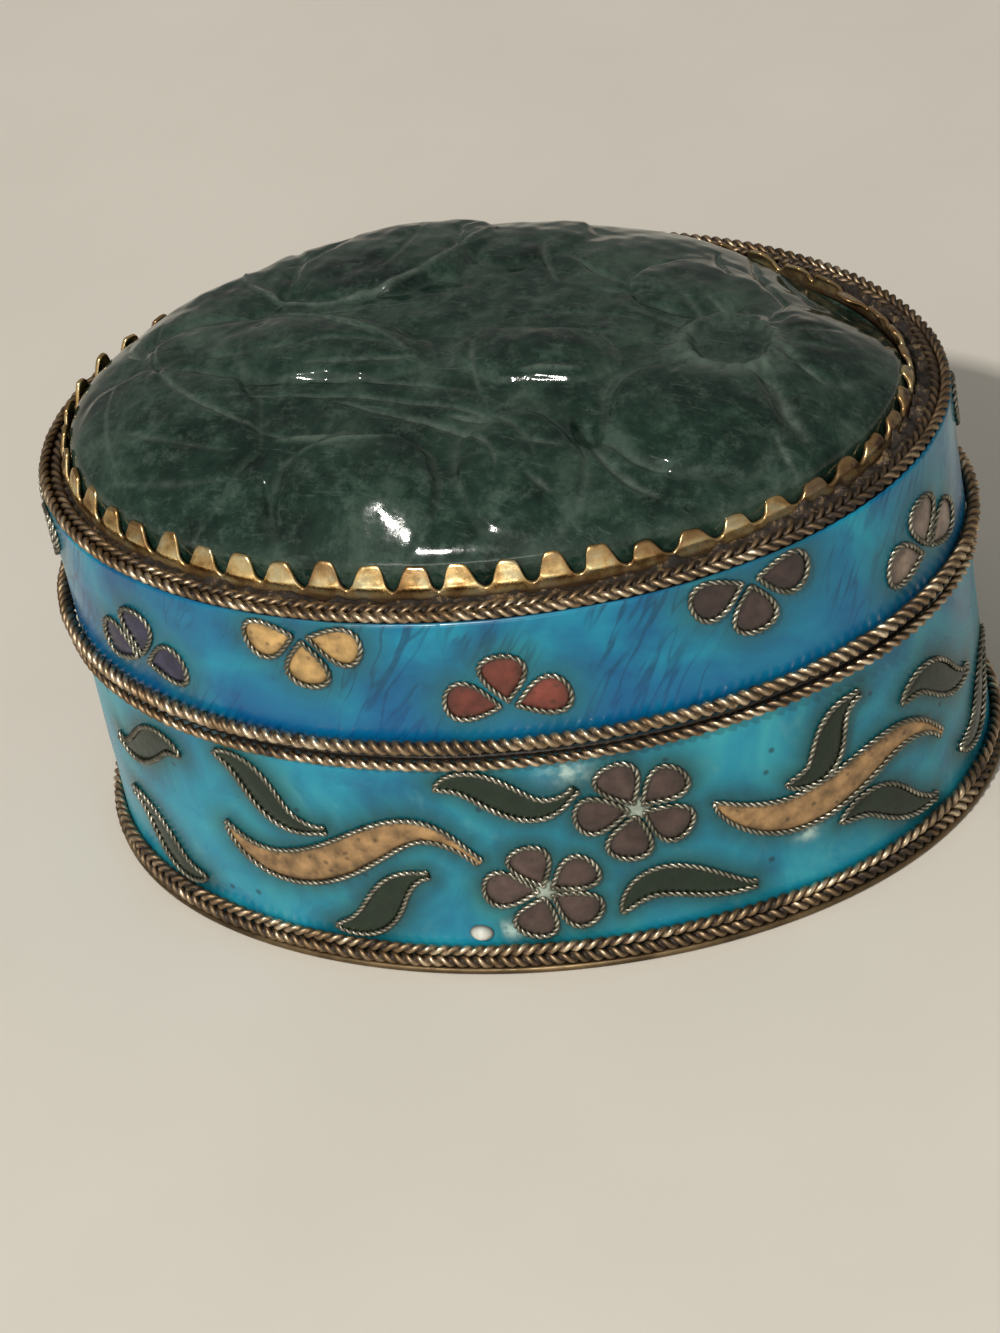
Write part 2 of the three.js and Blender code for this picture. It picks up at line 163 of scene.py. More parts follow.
class Shader:
    """A principled material, with short calls for the nodes that feed it."""

    def __init__(self, name, **values):
        self.material = bpy.data.materials.new(name)
        self.material.use_nodes = True
        self.tree = self.material.node_tree
        self.main = self.tree.nodes["Principled BSDF"]
        for key, value in values.items():
            self.main.inputs[key.replace("_", " ").title().replace("Ior", "IOR")].default_value = value

    def node(self, kind, **inputs):
        node = self.tree.nodes.new(kind)
        for key, value in inputs.items():
            self.feed(node.inputs[key], value)
        return node

    def feed(self, socket, value):
        if isinstance(value, bpy.types.NodeSocket):
            self.tree.links.new(value, socket)
        elif isinstance(value, tuple) and len(value) == 3 and socket.type == "RGBA":
            socket.default_value = (*value, 1)
        else:
            socket.default_value = value

    def set(self, name, value):
        self.feed(self.main.inputs[name], value)

    def attribute(self, name, output="Fac"):
        node = self.node("ShaderNodeAttribute")
        node.attribute_name = name
        return node.outputs[output]

    def place(self, scale=(1, 1, 1), turn=0.0, source=None):
        """Places in millimetres, stretched and turned."""
        if source is None:
            source = self.node("ShaderNodeTexCoord").outputs["Object"]
            scale = tuple(part / MM for part in scale)
        node = self.node("ShaderNodeMapping", Vector=source)
        node.inputs["Scale"].default_value = scale
        node.inputs["Rotation"].default_value = (0, 0, turn)
        return node.outputs["Vector"]

    def noise(self, size, detail=4, roughness=0.55, distortion=0.0, vector=None):
        """Cloudy values with patches of about size millimetres."""
        vector = vector or self.place()
        node = self.node("ShaderNodeTexNoise", Vector=vector, Scale=1 / size, Detail=detail)
        node.inputs["Roughness"].default_value = roughness
        node.inputs["Distortion"].default_value = distortion
        return node.outputs["Fac"]

    def specks(self, size, vector=None):
        """Distance to scattered points about size millimetres apart."""
        vector = vector or self.place()
        return self.node("ShaderNodeTexVoronoi", Vector=vector, Scale=1 / size).outputs["Distance"]

    def ramp(self, value, stops):
        node = self.node("ShaderNodeValToRGB", Fac=value)
        elements = node.color_ramp.elements
        for element, (position, color) in zip(elements, (stops[0], stops[-1])):
            element.position = position
            element.color = (*color, 1)
        for position, color in stops[1:-1]:
            elements.new(position).color = (*color, 1)
        return node.outputs["Color"]

    def fade(self, value, low, high, start=0.0, end=1.0):
        """Carries value from the range low to high onto start to end, and stops there."""
        node = self.node("ShaderNodeMapRange", Value=value)
        for key, part in (("From Min", low), ("From Max", high), ("To Min", start), ("To Max", end)):
            node.inputs[key].default_value = part
        return node.outputs["Result"]

    def math(self, operation, first, second):
        node = self.tree.nodes.new("ShaderNodeMath")
        node.operation = operation
        self.feed(node.inputs[0], first)
        self.feed(node.inputs[1], second)
        return node.outputs["Value"]

    def mix(self, share, first, second, blend="MIX"):
        node = self.tree.nodes.new("ShaderNodeMix")
        node.data_type = "RGBA"
        node.blend_type = blend
        self.feed(node.inputs["Factor"], share)
        colors = [socket for socket in node.inputs if socket.type == "RGBA"]
        self.feed(colors[0], first)
        self.feed(colors[1], second)
        return next(socket for socket in node.outputs if socket.type == "RGBA")

    def bump(self, height, depth, strength=1.0):
        """Bumps of about depth millimetres."""
        node = self.node("ShaderNodeBump", Height=height)
        node.inputs["Distance"].default_value = depth * MM
        node.inputs["Strength"].default_value = strength
        self.set("Normal", node.outputs["Normal"])


# The oval

ARC_ANGLES = np.linspace(-math.pi / 2, 1.5 * math.pi, 7201)
_steps = np.diff(np.stack([HALF_LENGTH * np.cos(ARC_ANGLES), HALF_WIDTH * np.sin(ARC_ANGLES)]), axis=1)
ARC_LENGTHS = np.concatenate([[0], np.cumsum(np.hypot(*_steps))])
WALL_LENGTH = ARC_LENGTHS[-1]


def wall_angle(along):
    """The oval's angle at a distance along the wall from the middle of its front."""
    return np.interp(np.mod(along, WALL_LENGTH), ARC_LENGTHS, ARC_ANGLES)


def oval(angle, offset, z):
    """Points of the oval, moved square to it by offset."""
    normal = np.stack([HALF_WIDTH * np.cos(angle), HALF_LENGTH * np.sin(angle)], -1)
    normal /= np.linalg.norm(normal, axis=-1, keepdims=True)
    x = HALF_LENGTH * np.cos(angle) + offset * normal[..., 0]
    y = HALF_WIDTH * np.sin(angle) + offset * normal[..., 1]
    return np.stack(np.broadcast_arrays(x, y, z), -1)


def on_wall(along, z, offset):
    return oval(wall_angle(along), offset, z)


def in_setting(points):
    """Moves points of the stone or its bezel from the walls' oval to its own."""
    return points * [SETTING_STRETCH, 1, 1] + [SETTING_SHIFT, 0, 0]


def wobble(points, size, seed, waves=11):
    """Smooth uneven values, mostly from -1 to 1, with bumps about size millimetres wide."""
    chance = np.random.default_rng(seed)
    directions = chance.normal(size=(waves, points.shape[-1]))
    directions /= np.linalg.norm(directions, axis=1, keepdims=True)
    directions *= math.pi / (size * chance.uniform(0.6, 1.7, (waves, 1)))
    phases = chance.uniform(0, TAU, waves)
    return np.sin(points @ directions.T + phases).sum(axis=-1) / math.sqrt(waves)


def smooth_step(value, low, high):
    share = np.clip((value - low) / (high - low), 0, 1)
    return share * share * (3 - 2 * share)


# Meshes

def grid_faces(rows, columns, closed_rows, closed_columns):
    """Quads over a grid of points that is numbered row by row."""
    row = np.arange(rows if closed_rows else rows - 1)[:, None]
    column = np.arange(columns if closed_columns else columns - 1)[None, :]
    next_row = (row + 1) % rows
    next_column = (column + 1) % columns
    corners = np.broadcast_arrays(
        row * columns + column, next_row * columns + column,
        next_row * columns + next_column, row * columns + next_column)
    return np.stack([corner.ravel() for corner in corners], 1)


class Parts:
    """Gathers points, faces and point values, and makes one mesh piece of them."""

    def __init__(self):
        self.points = []
        self.faces = []
        self.values = {}
        self.count = 0

    def add(self, points, faces, **values):
        points = points.reshape(-1, 3)
        self.points.append(points)
        self.faces.extend((np.asarray(part) + self.count).tolist() for part in faces)
        self.count += len(points)
        for key, value in values.items():
            self.values.setdefault(key, []).append(np.broadcast_to(value, (len(points),) + np.shape(value)[1:]))

    def piece(self, name, material, slot, replaced=()):
        mesh = bpy.data.meshes.new(name)
        points = np.concatenate(self.points) * MM
        faces = [face for group in self.faces for face in group]
        mesh.from_pydata(points.tolist(), [], faces)
        for key, parts in self.values.items():
            value = np.concatenate(parts).astype(np.float32)
            kind = "FLOAT_VECTOR" if value.ndim == 2 else "FLOAT"
            field = "vector" if value.ndim == 2 else "value"
            mesh.attributes.new(key, kind, "POINT").data.foreach_set(field, value.ravel())
        mesh.polygons.foreach_set("use_smooth", np.ones(len(mesh.polygons), bool))
        mesh.materials.append(material)
        mesh.update()
        thing = bpy.data.objects.new(name, mesh)
        bpy.context.scene.collection.objects.link(thing)
        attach(thing, "root")
        if replaced:
            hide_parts(*replaced)
        return thing


# Twisted wires

WAIST = 0.36
TWIST_UNEVENNESS = 0.5
WIRE_SOIL = 0.08


def twisted_wire(parts, path, outward, width, pitch, sides, steps, hand=1, closed=True, seed=0, soil=None):
    """Two strands twisted together along a path. The pitch is the length of one strand's lobe."""
    ring = np.roll(path, -1, 0) if closed else path
    lengths = np.linalg.norm(np.diff(path, axis=0, append=ring[-1:]), axis=1)
    if not closed:
        lengths = lengths[:-1]
    marks = np.concatenate([[0], np.cumsum(lengths)])
    source = np.concatenate([path, path[:1]]) if closed else path
    normals = np.concatenate([outward, outward[:1]]) if closed else outward
    lobes = max(2, int(round(marks[-1] / pitch)))
    stations = np.linspace(0, marks[-1], lobes * steps + 1)
    if closed:
        stations = stations[:-1]
    centre = np.stack([np.interp(stations, marks, source[:, k]) for k in range(3)], 1)
    normal = np.stack([np.interp(stations, marks, normals[:, k]) for k in range(3)], 1)
    if closed:
        along = np.roll(centre, -1, 0) - np.roll(centre, 1, 0)
    else:
        along = np.gradient(centre, axis=0)
    along /= np.linalg.norm(along, axis=1, keepdims=True)
    across = np.cross(along, normal)
    across /= np.linalg.norm(across, axis=1, keepdims=True)
    normal = np.cross(across, along)
    twist = hand * math.pi * stations / marks[-1] * (lobes if not closed else 2 * (lobes // 2))
    twist += TWIST_UNEVENNESS * wobble(centre, 3.5, seed + 70)
    around = np.linspace(0, TAU, sides, endpoint=False)
    lobe = WAIST + (1 - WAIST) * np.abs(np.cos(around)) ** 0.8
    swell = 1 + 0.05 * wobble(centre, 3.0, seed) + 0.035 * wobble(centre, 0.7, seed + 80)
    if not closed:
        ends = np.minimum(stations, marks[-1] - stations) / (0.5 * width)
        swell *= np.sqrt(np.clip(1 - (1 - np.clip(ends, 0, 1)) ** 2, 0.02, 1))
    radius = 0.5 * width * lobe[None, :] * swell[:, None]
    turn = around[None, :] + twist[:, None]
    points = (centre[:, None] + (radius * np.cos(turn))[..., None] * normal[:, None]
              + (radius * np.sin(turn))[..., None] * across[:, None])
    crest = np.broadcast_to((lobe - WAIST) / (1 - WAIST), radius.shape).ravel()
    faces = [grid_faces(len(stations), sides, closed, True)]
    if not closed:
        last = (len(stations) - 1) * sides
        faces.append(np.arange(sides)[None, :])
        faces.append(np.arange(last + sides - 1, last - 1, -1)[None, :])
    soil = np.full(len(centre), WIRE_SOIL) if soil is None else soil(centre)
    parts.add(points, faces, crest=crest, soil=np.repeat(soil, sides))


def wire_material(name, dark, middle, bright):
    """Gilt wire: brown dirt and painted shade between the strands, and crests rubbed bright in places, partly as a
    painted highlight.
    """
    shader = Shader(name)
    crest = shader.math("SUBTRACT", shader.attribute("crest"), shader.attribute("soil"))
    patches = shader.noise(4.5, detail=3)
    fine = shader.noise(0.8, detail=2)
    # Crests brightened: worn gilt, and in part a painted highlight.
    worn_and_highlighted = shader.math("MULTIPLY", shader.fade(crest, 0.36, 0.85), shader.fade(patches, 0.36, 0.58))
    metal = shader.mix(worn_and_highlighted, middle, bright)
    tarnish = shader.mix(shader.fade(fine, 0.35, 0.7), metal, tuple(0.62 * part for part in middle))
    # Grooves between the strands darkened: dirt, and painted shade.
    crest_clear_of_dirt_and_shade = shader.fade(crest, 0.05, 0.5)
    shader.set("Base Color", shader.mix(crest_clear_of_dirt_and_shade, dark, tarnish))
    shader.set("Metallic", shader.fade(crest, 0.05, 0.45, 0.35, 1.0))
    shader.set("Roughness", shader.fade(worn_and_highlighted, 0, 1, 0.5, 0.27))
    return shader.material


ROPE_PITCH = 0.8

# The ropes, each with the hand of its twist and how much dirt fills it; for the inner top rope this is also painted
# shade.
ROPES = [
    ("foot_rope_lower", 1, 0.36),
    ("foot_rope_upper", -1, 0.18),
    ("base_rim_rope", 1, 0.12),
    ("lid_rim_rope", 1, 0.04),
    ("lid_top_rope_outer", 1, 0.16),
    ("lid_top_rope_inner", -1, 0.46),
]
RIGHT_DARKENING_FROM = 2
RIGHT_DARKENING_TO = 20


def add_ropes():
    """The twisted wires round the edges, each where its plain ring lies."""
    material = wire_material("antique_gilt_rope", (0.026, 0.016, 0.009), (0.30, 0.20, 0.112), (1.0, 0.83, 0.60))
    for number, (node, hand, dirt) in enumerate(ROPES):
        low, high = node_box(node)
        width = high[2] - low[2]
        offset = high[0] - HALF_LENGTH - width / 2
        along = np.linspace(0, WALL_LENGTH, 720, endpoint=False)
        angle = wall_angle(along)
        path = oval(angle, offset, (low[2] + high[2]) / 2)
        shake = wobble(path, 9, 40 + number)
        path[:, 2] += 0.03 * shake
        outward = oval(angle, offset + 1, 0) - oval(angle, offset, 0)
        rope = Parts()

        def soil(points):
            worn = dirt + 0.24 * wobble(points, 4.5, 50 + number) + 0.2 * wobble(points, 1.2, 60 + number)
            # The top ropes darken towards the right: dirt, and painted shade on the side away from the key light.
            right_side_dirt_and_shade = smooth_step(points[:, 0], RIGHT_DARKENING_FROM, RIGHT_DARKENING_TO) * ("top" in node)
            return np.clip(worn + 0.3 * right_side_dirt_and_shade, -0.05, 0.8)

        twisted_wire(rope, path, outward, width, ROPE_PITCH, 12, 7, hand, seed=number, soil=soil)
        rope.piece(node + "_twisted", material, "twisted_wire", [node])


# Patterns on the walls. Places are [along the wall from the middle of its front, height].

DRAWN_LENGTH = 162.6
DRAWN_LID = (19.1, 27.8)
PETAL_SPREAD = 72
PETAL_REACH = 4.2
PETAL_HALF_WIDTH = 1.42
PETAL_NECK = 0.5
UPRIGHT_LIFT = 2.1
INVERTED_DROP = 1.0
LID_FLOWERS = 12
LID_START = 4.7
LID_SHIFTS = [-1.5, 0.9, 1.1, 0, -0.3, -0.4]
PURPLE = (0.020, 0.018, 0.050)
OCHRE = (0.53, 0.33, 0.125)
CORAL = (0.155, 0.036, 0.024)
MAUVE = (0.066, 0.041, 0.035)
DARK_MAUVE = (0.047, 0.029, 0.027)
TAN = (0.26, 0.19, 0.15)
LID_COLORS = [CORAL, DARK_MAUVE, TAN, OCHRE, PURPLE, OCHRE]
LID_COLORS_BACK = [CORAL, DARK_MAUVE, TAN, DARK_MAUVE, PURPLE, OCHRE]
COPIES = 2
BASE_FLOWERS = [((3.2, 6.3), 103), ((9.8, 11.9), 108)]
SCROLL_WIDTH = 2.8
SCROLLS = [
    [(-18.6, 9.6), (-15, 7.2), (-9.9, 8.8), (-5.5, 11.3), (-0.6, 8.9)],
    [(14.6, 10.9), (18.3, 8.3), (22.5, 8.3), (27, 9.6), (32, 7.2)],
]
LEAF_WIDTH = 2.3
LEAVES = [
    [(-18.2, 15.5), (-15.6, 14.1), (-14.2, 11.9), (-10.6, 10.9)],
    [(-11.5, 2.8), (-8.3, 4.2), (-6.8, 6.4), (-4.1, 7.9)],
    [(-2.6, 15), (0.4, 14.9), (2.9, 13.2), (6.3, 14.3)],
    [(7.7, 3.8), (10.5, 5.8), (13.2, 4.9), (16.6, 3.6)],
    [(19.4, 10.4), (22.2, 11.1), (23.1, 13.2), (25.5, 14.8)],
    [(22.7, 5.7), (25.9, 5.8), (27.6, 4.4), (30.8, 3)],
    [(28.6, 11.9), (31.7, 12.1), (33.6, 10.4), (36.4, 9.6)],
    [(33.8, 4.6), (37, 4.9), (38.8, 7), (41.6, 8.6)],
    [(-21.6, 13.8), (-24.2, 13.9), (-26.3, 12.2), (-29.2, 11.9)],
    [(-22, 3.4), (-25, 3.9), (-26.6, 6), (-29.2, 7.3)],
]
CELL_WIRE_WIDTH = 0.4
CELL_WIRE_PITCH = 0.46
CELL_WIRE_CENTRE = 0.14


def spline(places, count):
    """Points of a smooth curve through the places, and the directions across it."""
    places = np.array(places, float)
    gaps = np.sqrt(np.linalg.norm(np.diff(places, axis=0), axis=1))
    knots = np.concatenate([[0], np.cumsum(gaps)]) / gaps.sum()
    share = np.linspace(0, 1, count)
    curve = np.stack([np.polyval(np.polyfit(knots, places[:, k], len(places) - 1), share) for k in range(2)], 1)
    direction = np.gradient(curve, axis=0)
    direction /= np.linalg.norm(direction, axis=1, keepdims=True)
    return curve, np.stack([-direction[:, 1], direction[:, 0]], 1)


def leaf_edges(places, width, count=40):
    """The two edges of a leaf, which meet at its tip and stay a wire apart at its tail."""
    curve, across = spline(places, count)
    share = np.linspace(0, 1, count)
    half = width / 2 * np.sin(math.pi * share ** 0.85) ** 0.75
    half = np.maximum(half, 0.26 * smooth_step(share, 0.5, 1))[:, None]
    return curve + across * half, curve - across * half


def petal_outline(centre, turn, size=1.0, count=44):
    """A drop-shaped loop, with its neck at the flower's middle."""
    around = np.linspace(0, TAU, count, endpoint=False)
    rise = (1 - np.cos(around)) / 2
    out = size * (PETAL_NECK + (PETAL_REACH - CELL_WIRE_WIDTH / 2 - PETAL_NECK) * rise)
    side = size * PETAL_HALF_WIDTH / 0.74 * np.sin(around) * rise ** 0.6
    cos_t, sin_t = math.cos(turn), math.sin(turn)
    return np.stack([centre[0] + out * cos_t - side * sin_t, centre[1] + out * sin_t + side * cos_t], 1)


def wall_path(places, offset):
    """A path drawn on the wall, with the direction out of the wall at each point."""
    along = places[:, 0] / DRAWN_LENGTH * WALL_LENGTH
    path = on_wall(along, places[:, 1], offset)
    return path, on_wall(along, places[:, 1], offset + 1) - path


def add_wire(parts, places, closed, seed):
    path, outward = wall_path(places, CELL_WIRE_CENTRE)
    twisted_wire(parts, path, outward, CELL_WIRE_WIDTH, CELL_WIRE_PITCH, 8, 6, 1, closed, seed)


CELL_RINGS = 7
CELL_DOME = 0.13
CELL_SUNK = -0.12


def fill_loop(parts, loop, color, dome=CELL_DOME):
    """A cushion of enamel inside a rounded loop of wire."""
    middle = loop.mean(axis=0)
    shares = np.linspace(1, 0.04, CELL_RINGS)
    layers = [middle + share * (loop - middle) for share in shares]
    heights = [0.04 + dome * (1 - share ** 2) for share in shares]
    layers.insert(0, layers[0])
    heights.insert(0, CELL_SUNK)
    along = np.stack([layer[:, 0] for layer in layers]) / DRAWN_LENGTH * WALL_LENGTH
    z = np.stack([layer[:, 1] for layer in layers])
    points = on_wall(along, z, np.array(heights)[:, None])
    count = len(loop)
    last = CELL_RINGS * count
    faces = [grid_faces(CELL_RINGS + 1, count, False, True)[:, ::-1],
             np.arange(last, last + count)[None, :], np.arange(count - 1, -1, -1)[None, :]]
    tone = np.broadcast_to(np.array(color) * CHANCE.uniform(0.82, 1.18), (points.size // 3, 3))
    rim = np.repeat(np.concatenate([[1], shares]) ** 4, count)
    parts.add(points, faces, cell_color=tone, rim=rim)


def fill_leaf(parts, edges, color, dome=CELL_DOME):
    """A cushion of enamel between the two edges of a leaf."""
    left, right = edges
    shares = np.linspace(0, 1, 9)
    heights = 0.04 + dome * (1 - (2 * shares - 1) ** 2)
    shares = np.concatenate([shares, [1, 0]])
    heights = np.concatenate([heights, [CELL_SUNK, CELL_SUNK]])
    places = left[:, None] * (1 - shares)[None, :, None] + right[:, None] * shares[None, :, None]
    points = on_wall(places[..., 0] / DRAWN_LENGTH * WALL_LENGTH, places[..., 1], heights[None, :])
    rows, columns = places.shape[:2]
    last = (rows - 1) * columns
    faces = [grid_faces(rows, columns, False, True)[:, ::-1],
             np.arange(columns)[None, :], np.arange(last + columns - 1, last - 1, -1)[None, :]]
    tone = np.broadcast_to(np.array(color) * CHANCE.uniform(0.9, 1.1), (points.size // 3, 3))
    rim = np.tile(np.abs(2 * shares - 1) ** 4, rows)
    parts.add(points, faces, cell_color=tone, rim=rim)


def cell_material(name, mottle, roughness):
    """Glossy enamel in the colour of its cell, clouded and darker towards the wire."""
    shader = Shader(name, ior=1.45)
    color = shader.attribute("cell_color", "Color")
    cloud = shader.fade(shader.noise(1.1, detail=5), 0.3, 0.72, 1 - mottle, 1 + mottle)
    tint = shader.node("ShaderNodeCombineColor", Red=cloud, Green=cloud, Blue=cloud).outputs["Color"]
    clouded = shader.mix(1.0, color, tint, "MULTIPLY")
    spots = shader.fade(shader.specks(0.9), 0.12, 0.24, mottle, 0.0)
    spotted = shader.mix(spots, clouded, (0.03, 0.022, 0.016))
    rim = shader.math("MULTIPLY", shader.attribute("rim"), 0.85)
    shader.set("Base Color", shader.mix(rim, spotted, (0.014, 0.018, 0.014)))
    shader.set("Roughness", shader.fade(shader.noise(0.7), 0.3, 0.7, roughness, roughness + 0.18))
    shader.bump(shader.noise(0.6, detail=3), 0.05, 0.5)
    return shader.material


def flower_loops():
    """Every petal of the lid and of the base, with its colour."""
    lid, base = [], []
    for i in range(LID_FLOWERS):
        along = LID_START + i / LID_FLOWERS * DRAWN_LENGTH + LID_SHIFTS[i % len(LID_SHIFTS)]
        upright = i % 2 == 0
        height = DRAWN_LID[0] + UPRIGHT_LIFT if upright else DRAWN_LID[1] - INVERTED_DROP
        colors = LID_COLORS if i < 4 or i > 9 else LID_COLORS_BACK
        for petal in (-1, 0, 1):
            turn = math.radians((90 if upright else -90) + petal * (PETAL_SPREAD + 4))
            lid.append((petal_outline((along, height), turn), colors[i % 6], f"lid_flower_{i + 1}"))
    for copy in range(COPIES):
        for number, ((along, z), start) in enumerate(BASE_FLOWERS):
            centre = (along + copy / COPIES * DRAWN_LENGTH, z)
            for petal in range(5):
                turn = math.radians(start + petal * PETAL_SPREAD + CHANCE.uniform(-4, 4))
                name = f"base_flower_{copy + 1}_{number + 1}"
                base.append((petal_outline(centre, turn, CHANCE.uniform(0.94, 1.0)), MAUVE, name))
    return lid, base


def curved_shapes(shapes, width, label):
    """The edges of each leaf or scroll in both copies of the pattern, with its node."""
    found = []
    for copy in range(COPIES):
        for number, places in enumerate(shapes):
            moved = [(along + copy / COPIES * DRAWN_LENGTH, z) for along, z in places]
            found.append((leaf_edges(moved, width), f"base_{label}_{copy + 1}_{number + 1}"))
    return found


LEAF_GREEN = (0.006, 0.017, 0.008)
SCROLL_TAN = (0.30, 0.177, 0.076)
FLOWER_CENTRE = (0.30, 0.36, 0.30)
FLOWER_CENTRE_RADIUS = 0.95
LUMP_WHITE = (0.72, 0.72, 0.66)
LUMP = (-1.5, 3.0, 0.78, 0.62)
LUMP_RISE = 0.5


def round_loop(centre, half_length, half_height, count=20):
    around = np.linspace(0, TAU, count, endpoint=False)
    return np.stack([centre[0] + half_length * np.cos(around), centre[1] + half_height * np.sin(around)], 1)


def add_centres():
    """The pale rough middles of the base flowers, and a stray lump of white enamel."""
    centres = Parts()
    for copy in range(COPIES):
        for (along, z), start in BASE_FLOWERS:
            centre = (along + copy / COPIES * DRAWN_LENGTH, z)
            loop = round_loop(centre, FLOWER_CENTRE_RADIUS, FLOWER_CENTRE_RADIUS)
            fill_loop(centres, loop, FLOWER_CENTRE, 0.12)
    centres.piece("base_flower_centres", cell_material("pale_rough_enamel", 0.6, 0.5), "base_enamel")
    lump = Parts()
    fill_loop(lump, round_loop(LUMP[:2], *LUMP[2:]), LUMP_WHITE, LUMP_RISE)
    lump.piece("white_enamel_lump", cell_material("white_enamel", 0.12, 0.3), "base_enamel")


def add_patterns():
    """The bent wires and the enamel in their cells. Returns all places of the wires."""
    add_centres()
    wire = wire_material("antique_gilt_wire", (0.035, 0.045, 0.032), (0.26, 0.245, 0.19), (0.72, 0.68, 0.57))
    petal_enamel = cell_material("petal_enamel", 0.45, 0.22)
    lid_loops, base_loops = flower_loops()
    drawn = []
    for label, loops in (("lid_flower", lid_loops), ("base_flower", base_loops)):
        wires, fills = Parts(), Parts()
        for number, (loop, color, node) in enumerate(loops):
            add_wire(wires, loop, True, number)
            fill_loop(fills, loop, color)
            drawn.append(loop)
        nodes = sorted({node for loop, color, node in loops})
        slot = "lid_enamel" if label == "lid_flower" else "base_enamel"
        wires.piece(label + "_wires", wire, "twisted_wire", nodes)
        fills.piece(label + "_petals", petal_enamel, slot)
    kinds = [("leaf", LEAVES, LEAF_WIDTH, LEAF_GREEN, 0.25, 0.2), ("scroll", SCROLLS, SCROLL_WIDTH, SCROLL_TAN, 0.6, 0.34)]
    for label, shapes, width, color, mottle, roughness in kinds:
        wires, fills = Parts(), Parts()
        found = curved_shapes(shapes, width, label)
        for number, (edges, node) in enumerate(found):
            line = np.concatenate([edges[0][::-1], edges[1][1:]])
            add_wire(wires, line, False, number)
            fill_leaf(fills, edges, color)
            drawn.append(line)
        wires.piece(f"base_{label}_wires", wire, "twisted_wire", [node for edges, node in found])
        fills.piece(f"base_{label}_cells", cell_material(f"{label}_enamel", mottle, roughness), "base_enamel")
    return np.concatenate(drawn)


# Enamel grounds

PALE_PATCHES = [(0.4, 3.1, 1.1), (5.9, 15.6, 1.3), (20.5, 5.9, 0.8)]


def enamel_ground(node, name, material, slot, drawn, seed):
    """A glossy ground that dips a little, rises to the wires and knows how near they are."""
    low, high = node_box(node)
    rows = int((high[2] - low[2]) / 0.3)
    along = np.linspace(0, WALL_LENGTH, 560, endpoint=False)
    z = np.linspace(low[2], high[2], rows)
    grid_along, grid_z = np.meshgrid(along, z)
    flat = np.stack([grid_along.ravel(), grid_z.ravel()], 1)
    marks = np.stack([np.mod(drawn[:, 0] / DRAWN_LENGTH * WALL_LENGTH, WALL_LENGTH), drawn[:, 1]], 1)
    nearest = np.full(len(flat), 9.0)
    for mark in marks[::2]:
        gap = np.abs(flat[:, 0] - mark[0])
        close = np.minimum(gap, WALL_LENGTH - gap) < 2.2
        distance = np.hypot(np.minimum(gap, WALL_LENGTH - gap)[close], flat[close, 1] - mark[1])
        nearest[close] = np.minimum(nearest[close], distance)
    surface = on_wall(flat[:, 0], flat[:, 1], 0)
    dip = 0.03 * wobble(surface, 4.5, seed) + 0.012 * wobble(surface, 1.3, seed + 1)
    lift = 0.07 * np.exp(-(nearest / 0.45) ** 2) - 0.03
    points = on_wall(flat[:, 0], flat[:, 1], dip + lift)
    inner = on_wall(along[None, :], np.array([high[2], low[2]])[:, None], -ENAMEL_THICKNESS)
    columns = len(along)
    total = np.concatenate([points, inner.reshape(-1, 3)])
    parts = Parts()
    wall = np.concatenate([flat, [[0, 0]] * (2 * columns)])
    near = np.concatenate([np.exp(-(nearest / 1.5) ** 1.5), np.zeros(2 * columns)])
    pale = sum(np.exp(-((wall[:, 0] - along) / half) ** 2 - ((wall[:, 1] - z) / (0.6 * half)) ** 2)
               for along, z, half in PALE_PATCHES)
    wall_mm = np.column_stack([wall, np.zeros(len(wall))])
    faces = grid_faces(rows + 2, columns, True, True)[:, ::-1]
    parts.add(total, [faces], near_wire=near, wall_mm=wall_mm, pale=pale)
    return parts.piece(name, material, slot, [node])


SEAM_BROWN = (0.018, 0.013, 0.010)


DRAG_TURN = 0.55


def lid_enamel_material():
    """Bright blue, with dark drag marks, deeper at the foot and greener round the wires."""
    shader = Shader("lid_blue_enamel", ior=1.45)
    wall = shader.attribute("wall_mm", "Vector")
    cloud = shader.noise(7, detail=4, distortion=0.6)
    ground = shader.ramp(cloud, [(0.32, (0.0, 0.08, 0.21)), (0.5, (0.001, 0.16, 0.295)), (0.66, (0.006, 0.26, 0.375))])
    stretched = shader.place((0.8, 0.13, 1), source=shader.place(turn=DRAG_TURN, source=wall))
    drags = shader.noise(1.0, detail=2, roughness=0.45, distortion=0.15, vector=stretched)
    from_line = shader.math("ABSOLUTE", shader.math("SUBTRACT", drags, 0.5), 0)
    where = shader.fade(shader.noise(9, detail=2, vector=wall), 0.44, 0.56)
    marks = shader.math("MULTIPLY", shader.fade(from_line, 0.004, 0.045, 0.72, 0.0), where)
    streaked = shader.mix(marks, ground, (0.001, 0.045, 0.11))
    height = shader.node("ShaderNodeSeparateXYZ", Vector=wall).outputs["Y"]
    foot = shader.fade(height, LID_ENAMEL_FOOT + 1.4, LID_ENAMEL_FOOT + 5.5, 0.6, 0.0)
    deep = shader.mix(foot, streaked, (0.0, 0.085, 0.26))
    near = shader.math("MULTIPLY", shader.attribute("near_wire"), 0.75)
    teal = shader.mix(near, deep, (0.012, 0.09, 0.10))
    shader.set("Base Color", shader.mix(shader.fade(height, SEAM_TOP, SEAM_TOP + 0.25, 1.0, 0.0), teal, SEAM_BROWN))
    shader.set("Roughness", shader.fade(drags, 0.3, 0.7, 0.18, 0.36))
    shader.bump(shader.mix(0.5, shader.noise(0.9, detail=3), drags), 0.05, 0.45)
    return shader.material


